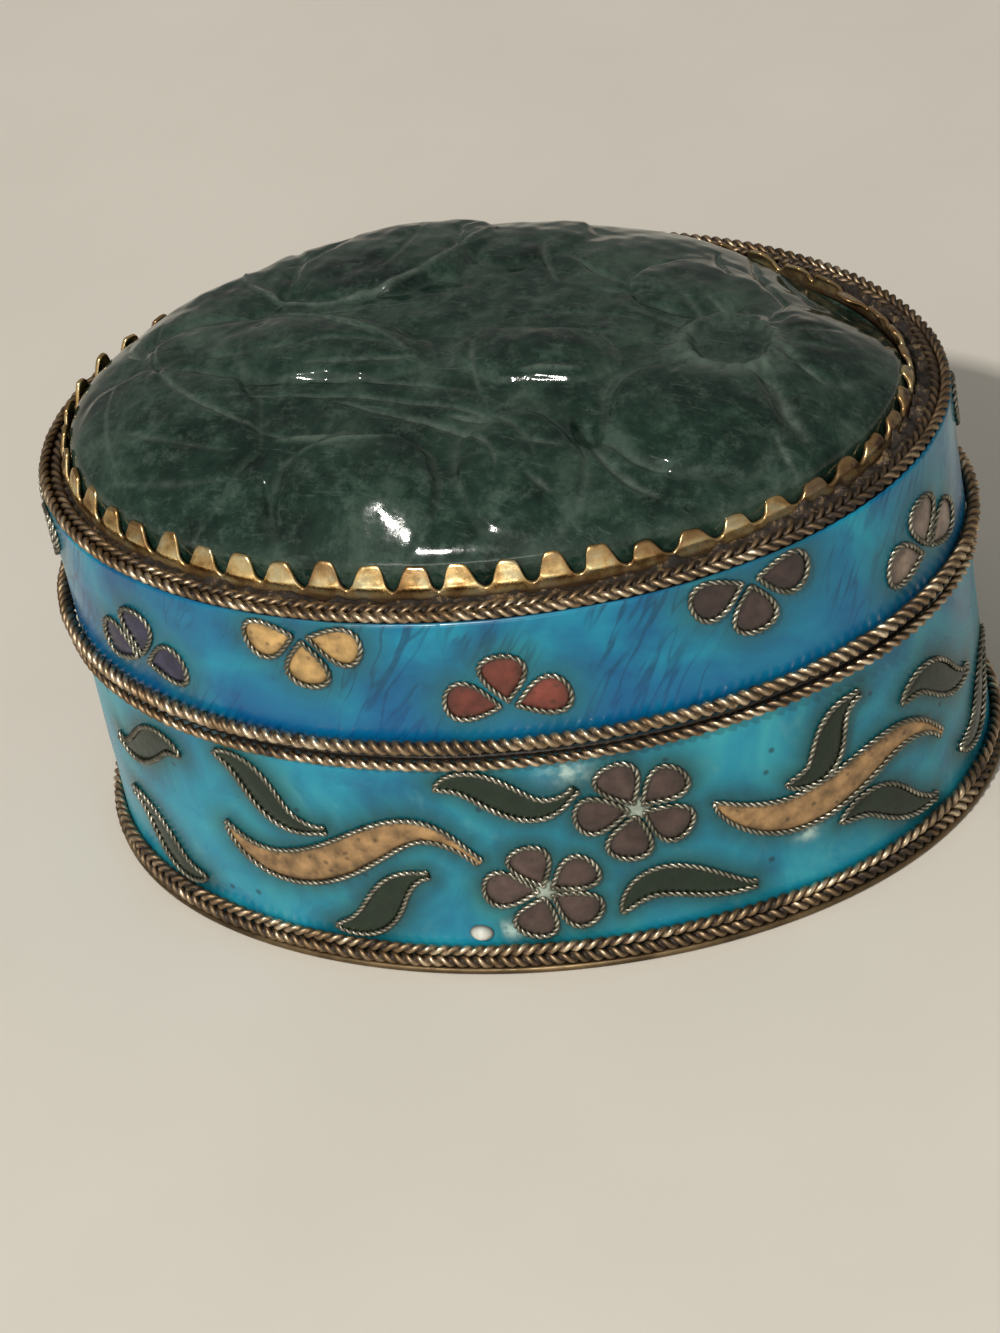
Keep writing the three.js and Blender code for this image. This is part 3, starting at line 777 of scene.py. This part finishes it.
def base_enamel_material():
    """Turquoise with milky clouds, teal round the wires, and small dark pits."""
    shader = Shader("base_turquoise_enamel", ior=1.45)
    wall = shader.attribute("wall_mm", "Vector")
    cloud = shader.noise(6, detail=4, distortion=0.8)
    ground = shader.ramp(cloud, [(0.28, (0.003, 0.115, 0.23)), (0.5, (0.008, 0.232, 0.35)), (0.7, (0.030, 0.325, 0.39))])
    milk = shader.fade(shader.noise(2.6, detail=5, distortion=1.2, vector=wall), 0.58, 0.74, 0.0, 0.24)
    milky = shader.mix(milk, ground, (0.17, 0.40, 0.39))
    near = shader.math("MULTIPLY", shader.attribute("near_wire"), 0.95)
    teal = shader.mix(near, milky, (0.006, 0.060, 0.062))
    chalk = shader.math("MULTIPLY", shader.attribute("pale"), shader.fade(shader.noise(0.8, detail=5), 0.4, 0.6, 0.2, 0.9))
    chalky = shader.mix(chalk, teal, (0.42, 0.58, 0.54))
    pits = shader.fade(shader.specks(2.4), 0.05, 0.12, 0.75, 0.0)
    pitted = shader.mix(pits, chalky, (0.003, 0.03, 0.05))
    height = shader.node("ShaderNodeSeparateXYZ", Vector=wall).outputs["Y"]
    shader.set("Base Color", shader.mix(shader.fade(height, SEAM_FOOT - 0.1, SEAM_FOOT + 0.1), pitted, SEAM_BROWN))
    shader.set("Roughness", shader.fade(cloud, 0.3, 0.7, 0.2, 0.36))
    shader.bump(shader.math("SUBTRACT", shader.noise(0.9, detail=3), pits), 0.06, 0.5)
    return shader.material


# Bezel

TOOTH_PITCH = 2.84
BAND_HEIGHT = 0.8
BEZEL_LEAN = 0.2
BEZEL_CURL = 0.1
TALL_TEETH = 0.3
LOW_TEETH = 0.34
LOW_FROM = (-78, -48)
LOW_TO = (40, 70)
UPRIGHT_BEARING = 163
UPRIGHT_SPAN = 30
BENT_BEARING = 8
BENT_SPAN = 52
BENT_CURL = 0.17
FOLDED_BEARING = 33
FOLDED_SPAN = 6
CRUSHED_SPAN = 16
TOOTH_STEPS = 30
STRIP_ROWS = 14


def tooth_height(t, half_width, steepness):
    """A rounded tooth over one pitch: 1 at its top, 0 at the bottom of the notch beside it."""
    from_middle = np.abs(2 * t - 1)
    bell = 1 / (1 + (from_middle / half_width) ** steepness)
    lowest = 1 / (1 + (1 / half_width) ** steepness)
    return (bell - lowest) / (1 - lowest)


def add_bezel():
    """A strip with rounded teeth, folded in over the stone, no two teeth quite alike."""
    teeth = int(round(WALL_LENGTH * (HALF_LENGTH + HALF_WIDTH + 2 * BEZEL_OUTER) / (HALF_LENGTH + HALF_WIDTH) / TOOTH_PITCH))
    step = np.arange(teeth * TOOTH_STEPS)
    tooth = step // TOOTH_STEPS
    t = step % TOOTH_STEPS / TOOTH_STEPS
    bearing = np.degrees(wall_angle((tooth + 0.5) / teeth * WALL_LENGTH))
    crushed = np.exp(-((bearing - FOLDED_BEARING) / CRUSHED_SPAN) ** 2)
    folded = np.exp(-((bearing - FOLDED_BEARING) / FOLDED_SPAN) ** 2)
    half_width = CHANCE.uniform(0.56, 0.66, teeth)[tooth] + 0.12 * crushed + 0.2 * folded
    shape = tooth_height(t, half_width, CHANCE.uniform(4.2, 7.5, teeth)[tooth])
    upright = np.exp(-((bearing - UPRIGHT_BEARING) / UPRIGHT_SPAN) ** 2)
    bent = np.exp(-((bearing - BENT_BEARING) / BENT_SPAN) ** 2)
    low = smooth_step(bearing, *LOW_FROM) - smooth_step(bearing, *LOW_TO)
    tall = CHANCE.uniform(0.8, 1.0, teeth)[tooth] + TALL_TEETH * upright - LOW_TEETH * low
    skew = CHANCE.uniform(-0.09, 0.09, teeth)[tooth] * shape
    push = CHANCE.uniform(-0.1, 0.16, teeth)[tooth] * shape
    ripple = 0.05 * wobble(step[:, None] / 9.0, 1.0, 5)
    top = BAND_HEIGHT + (BEZEL_HEIGHT - BAND_HEIGHT) * shape * tall + ripple
    rows = np.linspace(0, 1, STRIP_ROWS)[:, None]
    up = rows * top[None, :]
    part = (tooth + t)[None, :] + skew[None, :] * smooth_step(up, 0, BAND_HEIGHT)
    above = np.maximum(0, up - BAND_HEIGHT)
    lean = (BEZEL_LEAN * up + (BEZEL_CURL + BENT_CURL * bent) * above ** 2) * (1 - 0.9 * upright) + push * rows
    lean = lean + 0.35 * folded * above
    lifted = up - 0.3 * folded * above
    crease = 0.15 * np.exp(-((up - BAND_HEIGHT - 0.35) / 0.35) ** 2) * shape - 0.05 * smooth_step(up, 0.6, 0)
    angle = wall_angle(part / teeth * WALL_LENGTH)
    face = BEZEL_OUTER - lean + crease
    outer = oval(angle, face, STONE_SEAT + lifted)
    edge = oval(angle[-1:], face[-1:] - BEZEL_THICKNESS / 2, STONE_SEAT + lifted[-1:] + 0.06)
    inner = oval(angle[::-1], face[::-1] - BEZEL_THICKNESS, STONE_SEAT + lifted[::-1])
    points = in_setting(np.concatenate([outer, edge, inner]))
    layers, count = points.shape[:2]
    strip = Parts()
    fold = np.concatenate([rows[:, 0], [1.1], rows[::-1, 0]])[:, None] * np.ones((1, count))
    height = np.concatenate([up, up[-1:], up[::-1]])
    # Bent teeth on the right side are darkened: dirt, and painted shade on the side away from the key light.
    dirt = np.tile(np.clip(1.6 * bent - folded, 0, 1), layers)
    brown = np.tile(CHANCE.uniform(0.1, 0.9, teeth)[tooth], layers)
    strip.add(points, [grid_faces(layers, count, True, True)[:, ::-1]], fold=fold.ravel(), height=height.ravel(), soil=dirt, brown=brown)
    shader = Shader("bezel_gilt", metallic=1.0)
    tarnish = shader.noise(1.5, detail=5, distortion=0.5)
    gold = shader.ramp(tarnish, [(0.36, (0.46, 0.26, 0.09)), (0.50, (0.93, 0.66, 0.28)), (0.62, (1.0, 0.87, 0.50))])
    shade = shader.fade(shader.noise(14, detail=2), 0.42, 0.58)
    dulled = shader.mix(shader.math("MULTIPLY", shade, 0.25), gold, (0.18, 0.11, 0.055))
    # Upper halves of the teeth browned, more on some teeth than others: painted shade on the tops.
    upper_half_shade = shader.math("MULTIPLY", shader.fade(shader.attribute("fold"), 0.5, 0.85, 0.1, 1.0), shader.attribute("brown"))
    tops_shaded = shader.mix(upper_half_shade, dulled, (0.27, 0.15, 0.065))
    low_grime = shader.fade(shader.attribute("height"), 0.35, 0.95, 0.92, 0.0)
    # Patchy darkening of those teeth: dirt and painted shade.
    dirty_and_shaded = shader.math("MULTIPLY", shader.attribute("soil"), shader.fade(shader.noise(0.9, detail=4), 0.42, 0.60, 1.0, 0.55))
    rubbed_tip = shader.fade(shader.attribute("fold"), 0.86, 1.0, 1.0, 0.5)
    grime_and_shade = shader.math("MAXIMUM", low_grime, shader.math("MULTIPLY", dirty_and_shaded, rubbed_tip))
    shader.set("Base Color", shader.mix(grime_and_shade, tops_shaded, (0.060, 0.032, 0.020)))
    shader.set("Metallic", shader.fade(grime_and_shade, 0.0, 0.9, 1.0, 0.45))
    shader.set("Roughness", shader.fade(shader.noise(0.5, detail=4), 0.3, 0.7, 0.16, 0.36))
    shader.bump(shader.noise(0.8, detail=3), 0.06, 0.5)
    strip.piece("bezel_toothed", shader.material, "bright_gilt", ["bezel"])


# Old dirt in the channel between the bezel and the ropes

DIRT_THIN = 0.34
DIRT_THICK = 0.75
DIRT_ROWS = 9
DIRT_STEPS = 900


def add_dirt():
    """A lumpy brown crust, thin at the front and left and thick at the right."""
    plate_top = node_box("lid_top")[1][2]
    rope_low, rope_high = node_box("lid_top_rope_inner")
    rope_width = rope_high[2] - rope_low[2]
    reach = rope_high[0] - HALF_LENGTH - 0.7 * rope_width - BEZEL_OUTER
    angle = wall_angle(np.linspace(0, WALL_LENGTH, DIRT_STEPS, endpoint=False))
    share = np.linspace(0, 1, DIRT_ROWS)[:, None]
    flat = oval(angle[None, :], BEZEL_OUTER + share * reach, plate_top)
    thick = DIRT_THIN + (DIRT_THICK - DIRT_THIN) * smooth_step(np.cos(angle - math.radians(15)), 0.1, 0.95)
    lumps = 1 + 0.45 * wobble(flat, 0.6, 90) + 0.3 * wobble(flat, 1.8, 91)
    height = thick * (1 - 0.45 * share) * np.maximum(lumps, 0.1)
    flat[..., 2] += height
    under = oval(angle[None, :], BEZEL_OUTER + np.array([[reach], [0]]), plate_top - 0.02)
    crust = Parts()
    crust.add(np.concatenate([flat, under]), [grid_faces(DIRT_ROWS + 2, DIRT_STEPS, True, True)])
    shader = Shader("old_dirt")
    grain = shader.noise(0.7, detail=6, roughness=0.7)
    crumbs = shader.ramp(grain, [(0.42, (0.010, 0.006, 0.004)), (0.55, (0.034, 0.021, 0.012)), (0.64, (0.26, 0.17, 0.08))])
    shader.set("Base Color", crumbs)
    shader.set("Metallic", shader.fade(grain, 0.6, 0.7, 0.0, 0.7))
    shader.set("Roughness", shader.fade(grain, 0.45, 0.7, 0.75, 0.35))
    shader.bump(grain, 0.2, 1.0)
    crust.piece("channel_dirt", shader.material, "gilt_metal")


# Jade stone

SIDE_HEIGHT = 2.05
DOME_RISE = 4.9
DOME_TILT = 0.16
DOME_FLATNESS = 2.4
DOME_FULLNESS = 0.6
RELIEF_FADE = 0.2
LOBE_UNEVENNESS = 0.03
STONE_RINGS = 165
LOWEST_EDGE = 0.4
LOBES = [
    ((-8.3, 13), (8.8, 8.8), 0, 1.2),
    ((1.9, 13), (4.4, 5), -10, 0.6),
    ((-18.2, 8), (5.4, 7), -20, 0.75),
    ((-20.2, -8), (8.4, 8), -40, 0.9),
    ((-11.7, -0.6), (10.5, 3.6), -14, 0.9),
    ((-5.3, -14.8), (5.6, 4.8), 0, 1.35),
    ((4.9, -3), (5.6, 3), -6, 0.7),
    ((4.9, -13.2), (4, 5), 20, 0.7),
    ((15.3, -8.2), (5.6, 5), 0, 1.0),
    ((22.8, 1.5), (3.6, 5.4), 14, 0.6),
    ((14.1, 6.2), (4.4, 3.8), 25, 0.6),
]
BACK_HOLLOW = ((22.5, 10), (5.5, 9), 39, 2.2)
LOBE_EDGE = 0.13
LOBE_CROWN = 0.6
BLOSSOM = (16.9, -1.2)
BLOSSOM_RING = 2.9
BLOSSOM_FLOOR = 2.2
BLOSSOM_DEPTH = 0.45
BLOSSOM_RAYS = (-58, -36, -12, 8, 30, 52, 76, 100, 124, 150, 178, 204, 232)
PIT = ((8.7, -9.6), (0.8, 1.6), 28, 1.2)

CUT_STRENGTH = 1.4
STROKE_STEPS = 24

# Cut lines: places, half-width, depth below the surface (a ridge where it is negative), and
# how much pale residue shows in it, which is in part a painted highlight.
STROKES = [
    ([(-0.2, 14), (-2.4, 9.4), (-7, 4.8), (-13.3, 5.4), (-16.7, 13)], 0.26, -0.16, 1.0),
    ([(-21.4, 4.5), (-19.9, -2), (-15.7, -6.6), (-10.2, -9.8)], 0.22, 0.14, 0.9),
    ([(-24.1, 6.5), (-23.5, 3.4), (-22, 1.6)], 0.24, 0.16, 0.8),
    ([(-23.6, -1), (-23.4, -5), (-22, -9)], 0.2, 0.08, 0.5),
    ([(-7.7, -6.7), (-2.5, -8.6), (2.1, -11), (3.5, -13.4)], 0.26, 0.2, 0.9),
    ([(-15.5, -5.4), (-9, -6), (-2, -7.2), (3.4, -9.4), (6, -13)], 0.22, 0.14, 0.7),
    ([(-14, -4), (-7.5, -4.7), (-1.5, -5.6), (3, -7.6)], 0.2, 0.12, 0.6),
    ([(-0.2, -8.5), (1.3, -8.9), (2.9, -9)], 0.26, 0.2, 0.9),
    ([(0.6, 0.5), (0.9, -4), (2.2, -7.4)], 0.22, 0.16, 0.7),
    ([(9.3, -11.3), (11, -13.2), (13.5, -14.6)], 0.3, 0.24, 1.0),
    ([(9.9, -10.6), (11.9, -12.2), (13.9, -13)], 0.24, 0.16, 0.6),
    ([(4.8, -11.3), (6.1, -11.5), (7.3, -11.7)], 0.24, 0.14, 0.7),
    ([(5.5, -14), (6.3, -14.6), (7.1, -15.2)], 0.24, 0.14, 0.7),
    ([(3.3, 11.6), (3.9, 8.6), (5.1, 6)], 0.26, 0.18, 0.7),
    ([(5.6, 9.4), (7.3, 7.4), (9.6, 5.9)], 0.26, 0.18, 0.8),
    ([(6.4, 8.6), (8.6, 6.4), (11, 5.2)], 0.22, 0.12, 0.6),
    ([(7.4, 5), (9.2, 4.7), (11.2, 4.4)], 0.26, 0.14, 0.7),
    ([(-19, -0.4), (-13, -1.4), (-7, -1.2), (-2.5, -2.9)], 0.22, 0.16, 0.6),
    ([(-15, 3.3), (-10.5, 2.1), (-6, -0.2), (-3.4, -2.4)], 0.26, -0.14, 0.7),
    ([(-11, 2.3), (-8.6, 1), (-5.6, -0.9)], 0.2, 0.12, 0.9),
    ([(-10, -3.5), (-6.5, -3.3), (-2.4, -3.1)], 0.24, 0.14, 0.8),
    ([(-12.4, 3.9), (-9.2, 3.3), (-3.4, 3.7)], 0.2, 0.1, 0.5),
    ([(4.2, -5.2), (6.3, -5.1), (8, -5.1)], 0.26, -0.16, 0.9),
    ([(2.6, -0.6), (6, -0.4), (10.6, -1)], 0.26, 0.12, 0.5),
    ([(2.4, 1.4), (6.4, 1.9), (11.6, 1.2)], 0.22, 0.1, 0.4),
    ([(10.6, -4.4), (9.6, -6.4), (9.8, -9)], 0.22, 0.12, 0.6),
    ([(-22.7, -6), (-18.7, -8.5), (-13.7, -10.5)], 0.24, 0.1, 0.4),
    ([(-21.7, -10), (-18.2, -11.6), (-14.2, -12.6)], 0.24, 0.1, 0.4),
    ([(-10.8, -9.9), (-8.6, -10.1), (-6.2, -10.5)], 0.26, -0.2, 1.0),
    ([(-9.5, -12), (-6, -11.3), (-2.5, -11.1)], 0.26, -0.12, 0.8),
    ([(-13.5, 9.5), (-10.9, 12), (-9.5, 16)], 0.24, 0.1, 0.4),
    ([(-7.2, 7), (-5.7, 10.5), (-5.2, 15)], 0.24, 0.08, 0.3),
    ([(14.4, 12.6), (14.8, 10), (15.8, 7.6)], 0.26, 0.2, 0.9),
    ([(16.6, 15), (17, 11), (19.6, 5.4)], 0.3, 0.24, 0.9),
    ([(18, 14), (18.8, 11), (21, 7.4)], 0.28, 0.2, 0.7),
    ([(20.4, 12), (21.5, 9.4), (23.4, 6.4)], 0.26, 0.16, 0.7),
    ([(14.8, 4.2), (16.2, 2.8), (18.2, 1.6)], 0.24, 0.16, 1.0),
    ([(19.1, -3.8), (20.2, -6.2), (22, -8.9)], 0.75, 0.35, 1.0),
    ([(20.3, -9.4), (20.9, -10.4), (21.5, -11.3)], 0.35, 0.25, 1.0),
    ([(21, -2.4), (21.9, -3.2), (22.9, -4)], 0.22, 0.12, 0.9),
    ([(-11.3, -13), (-10.7, -15), (-10.3, -17)], 0.5, 0.5, 0.0),
]


def lobe_distance(x, y, middle, half, turn):
    cos_t, sin_t = math.cos(math.radians(turn)), math.sin(math.radians(turn))
    dx, dy = x - middle[0], y - middle[1]
    return np.hypot((cos_t * dx + sin_t * dy) / half[0], (cos_t * dy - sin_t * dx) / half[1])


def stroke_shape(x, y, places, width):
    """How much of a curved stroke there is at each point: all of it on its line, less towards its ends."""
    curve, across = spline(places, STROKE_STEPS)
    shape = np.zeros(x.shape)
    low, high = curve.min(0) - 2, curve.max(0) + 2
    near = (x > low[0]) & (x < high[0]) & (y > low[1]) & (y < high[1])
    distance, along = curve_distance(x[near], y[near], curve)
    taper = 0.3 + 0.7 * np.sin(math.pi * (0.08 + 0.84 * along))
    shape[near] = taper * np.exp(-(distance / (0.85 * width * taper)) ** 2)
    return shape


def curve_distance(x, y, curve):
    """Distance to the curve, and how far along it the nearest place lies."""
    best = np.full(x.shape, 99.0)
    along = np.zeros(x.shape)
    for step, ((x0, y0), (x1, y1)) in enumerate(zip(curve[:-1], curve[1:])):
        length = (x1 - x0) ** 2 + (y1 - y0) ** 2
        share = np.clip(((x - x0) * (x1 - x0) + (y - y0) * (y1 - y0)) / length, 0, 1)
        distance = np.hypot(x - x0 - share * (x1 - x0), y - y0 - share * (y1 - y0))
        along = np.where(distance < best, (step + share) / (len(curve) - 1), along)
        best = np.minimum(best, distance)
    return best, along


def carving(x, y):
    """Height of the relief over the plain dome, and how much pale residue, in part a painted highlight, lies in its
    cuts.
    """
    height = np.zeros_like(x)
    residue = np.zeros_like(x)
    flat = np.stack([x, y], -1)
    uneven = LOBE_UNEVENNESS * (wobble(flat, 2.4, 8) + 0.5 * wobble(flat, 1.1, 9))
    for middle, half, turn, rise in LOBES:
        distance = lobe_distance(x, y, middle, half, turn) + uneven
        raised = rise * smooth_step(1 - distance, 0, LOBE_EDGE) * (1 - LOBE_CROWN * distance ** 2)
        rim = np.exp(-(((distance - 1.0) * min(half)) / 0.26) ** 2)
        height = np.where(raised > height, raised, height - 0.2 * rim)
        residue = np.maximum(residue * (raised <= height), 0.26 * rim)
    from_blossom = np.hypot(x - BLOSSOM[0], y - BLOSSOM[1])
    bearing = np.degrees(np.arctan2(y - BLOSSOM[1], x - BLOSSOM[0]))
    for number, ray in enumerate(BLOSSOM_RAYS):
        off = np.radians((bearing - ray + 180) % 360 - 180) * from_blossom
        length = 5.2 + 1.6 * math.sin(5 * number)
        reach = smooth_step(from_blossom, 2.6, 3.4) * smooth_step(-from_blossom, -length - 1.5, -length + 1)
        groove = np.exp(-(off / 0.26) ** 2) * reach
        height -= 0.2 * groove
        residue = np.maximum(residue, 0.6 * groove)
    ripple = 1 + 0.25 * np.sin(np.radians(bearing) * 17 + 2 * from_blossom)
    on_ring = np.exp(-((from_blossom - BLOSSOM_RING) / 0.75) ** 2)
    in_dish = smooth_step(BLOSSOM_FLOOR - from_blossom, -0.45, 0.25)
    height = height * (1 - on_ring) * (1 - in_dish) + 0.62 * on_ring * (1 - in_dish) * ripple ** 0.4
    height += (0.5 - BLOSSOM_DEPTH) * in_dish
    halo = np.exp(-((from_blossom - BLOSSOM_RING - 0.25) / 0.95) ** 2)
    residue = np.maximum(residue * (1 - in_dish), 0.75 * halo * (0.6 + 0.4 * ripple))
    for places, width, depth, pale in STROKES:
        line = stroke_shape(x, y, places, width)
        height -= CUT_STRENGTH * depth * line
        residue = np.maximum(residue, pale * line)
    middle, half, turn, depth = PIT
    height -= depth * np.exp(-lobe_distance(x, y, middle, half, turn) ** 2)
    height += 0.035 * wobble(flat, 1.0, 2) + 0.06 * wobble(flat, 2.6, 3) + 0.12 * wobble(flat, 6.0, 4)
    return height, residue


def add_jade():
    """The stone: rings of points, each with six more than the one inside it."""
    angles = [np.zeros(1)]
    shares = [np.zeros(1)]
    faces = []
    first = 0
    for ring in range(1, STONE_RINGS + 1):
        count = 6 * ring
        angles.append(np.arange(count) / count * TAU)
        shares.append(np.full(count, 1 - (1 - ring / STONE_RINGS) ** 1.2))
        start = first + max(1, 6 * (ring - 1))
        sector, step = np.divmod(np.arange(count), ring)
        outer = start + np.arange(count)
        outer_next = start + (np.arange(count) + 1) % count
        inner_count = max(1, 6 * (ring - 1))
        inner = first + (sector * (ring - 1) + step) % inner_count
        inner_next = first + (sector * (ring - 1) + step + 1) % inner_count
        faces.append(np.stack([outer, outer_next, inner], 1))
        keep = step < ring - 1
        faces.append(np.stack([inner, outer_next, inner_next], 1)[keep])
        first = start
    angle = np.concatenate(angles)
    share = np.concatenate(shares)
    rim_offset = GIRDLE - BEZEL_LEAN * SIDE_HEIGHT
    rim = oval(angle, rim_offset, 0)
    x, y = share * rim[:, 0], share * rim[:, 1]
    relief, residue = carving(x * SETTING_STRETCH, y)
    dome = (1 - share ** DOME_FLATNESS) ** DOME_FULLNESS
    rise = DOME_RISE * (1 - DOME_TILT * x / HALF_LENGTH)
    middle, half, turn, depth = BACK_HOLLOW
    hollow = depth * np.exp(-lobe_distance(x * SETTING_STRETCH, y, middle, half, turn) ** 2)
    z = STONE_SEAT + SIDE_HEIGHT + rise * dome + relief * smooth_step(1 - share, -0.02, RELIEF_FADE)
    z = np.maximum(z - hollow, STONE_SEAT + LOWEST_EDGE)
    around = np.arange(6 * STONE_RINGS) / (6 * STONE_RINGS) * TAU
    points = np.concatenate([np.stack([x, y, z], 1), oval(around, GIRDLE, STONE_SEAT)])
    count = len(around)
    top, foot = first, len(x)
    here, there = np.arange(count), (np.arange(count) + 1) % count
    faces.append(np.stack([foot + here, foot + there, top + there, top + here], 1))
    faces.append((foot + np.arange(count - 1, -1, -1))[None, :])
    stone = Parts()
    residue = np.concatenate([residue, np.zeros(count)])
    stone.add(in_setting(points), faces, residue=residue)
    stone.piece("jade_carved_stone", jade_material(), "jade", ["jade_stone"])


def jade_material():
    """Dark green stone, clouded and finely scratched, with pale residue in its cuts that is in part a painted
    highlight.
    """
    shader = Shader("dark_jade", ior=1.58)
    shader.main.inputs["Specular IOR Level"].default_value = 0.24
    cloud = shader.noise(5, detail=8, roughness=0.7, distortion=0.3)
    green = shader.ramp(cloud, [(0.36, (0.003, 0.010, 0.007)), (0.5, (0.010, 0.028, 0.020)), (0.64, (0.036, 0.064, 0.047))])
    wisps = shader.fade(shader.noise(1.5, detail=8, roughness=0.8, distortion=0.0), 0.50, 0.70, 0.0, 0.6)
    veined = shader.mix(wisps, green, (0.075, 0.115, 0.094))
    scratches = shader.noise(1.0, detail=5, roughness=0.7, vector=shader.place((0.45, 3.2, 1), source=shader.place(turn=0.25)))
    scratched = shader.mix(shader.fade(scratches, 0.58, 0.74, 0.0, 0.4), veined, (0.10, 0.14, 0.12))
    broken = shader.fade(shader.noise(0.9, detail=6, roughness=0.7), 0.34, 0.64, 0.15, 0.85)
    # Pale residue in the cuts and along lobe rims, in part a painted highlight.
    residue = shader.math("MULTIPLY", shader.attribute("residue"), broken)
    shader.set("Base Color", shader.mix(residue, scratched, (0.12, 0.155, 0.13)))
    shader.set("Roughness", shader.fade(shader.noise(1.4, detail=8, roughness=0.7), 0.32, 0.68, 0.05, 0.16))
    shader.bump(shader.math("ADD", shader.noise(1.1, detail=4), shader.math("MULTIPLY", scratches, 0.3)), 0.03, 0.6)
    return shader.material


# Metal plates

def gilt_material(name, color):
    """Dulled gilt sheet, brown in places."""
    shader = Shader(name, metallic=0.95)
    tarnish = shader.noise(3, detail=5, distortion=0.5)
    brown = tuple(0.35 * part for part in color)
    shader.set("Base Color", shader.ramp(tarnish, [(0.32, brown), (0.68, color)]))
    shader.set("Roughness", shader.fade(shader.noise(0.8, detail=4), 0.3, 0.7, 0.34, 0.56))
    shader.bump(shader.noise(0.6, detail=3), 0.04, 0.4)
    return shader.material


def add_floor_plate(material):
    """The plate under the base, with a rounded edge."""
    low, high = node_box("base_floor")
    offset = high[0] - HALF_LENGTH
    thickness = high[2] - low[2]
    edge = np.linspace(-math.pi / 2, math.pi / 2, 7)
    reach = offset - thickness / 2 + thickness / 2 * np.cos(edge)
    height = low[2] + thickness / 2 * (1 + np.sin(edge))
    angle = wall_angle(np.linspace(0, WALL_LENGTH, 360, endpoint=False))
    points = oval(angle[None, :], reach[:, None], height[:, None])
    count = len(angle)
    last = (len(edge) - 1) * count
    faces = [grid_faces(len(edge), count, False, True)[:, ::-1],
             np.arange(count - 1, -1, -1)[None, :], np.arange(last, last + count)[None, :]]
    plate = Parts()
    plate.add(points, faces)
    plate.piece("base_floor_plate", material, "gilt_metal", ["base_floor"])


def add_metal():
    gilt = gilt_material("dulled_gilt", (0.42, 0.30, 0.14))
    grimy = gilt_material("grimy_gilt", (0.13, 0.085, 0.045))
    for node, finish in (("base_wall", gilt), ("lid_wall", gilt), ("lid_top", grimy)):
        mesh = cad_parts[node].data
        mesh.materials.clear()
        mesh.materials.append(finish)
    add_floor_plate(gilt_material("tarnished_gilt", (0.20, 0.14, 0.075)))


# The whole box

add_camera()
add_surroundings()
add_metal()
add_ropes()
wire_places = add_patterns()
enamel_ground("lid_enamel", "lid_enamel_ground", lid_enamel_material(), "lid_enamel", wire_places, 21)
enamel_ground("base_enamel", "base_enamel_ground", base_enamel_material(), "base_enamel", wire_places, 31)
add_bezel()
add_dirt()
add_jade()
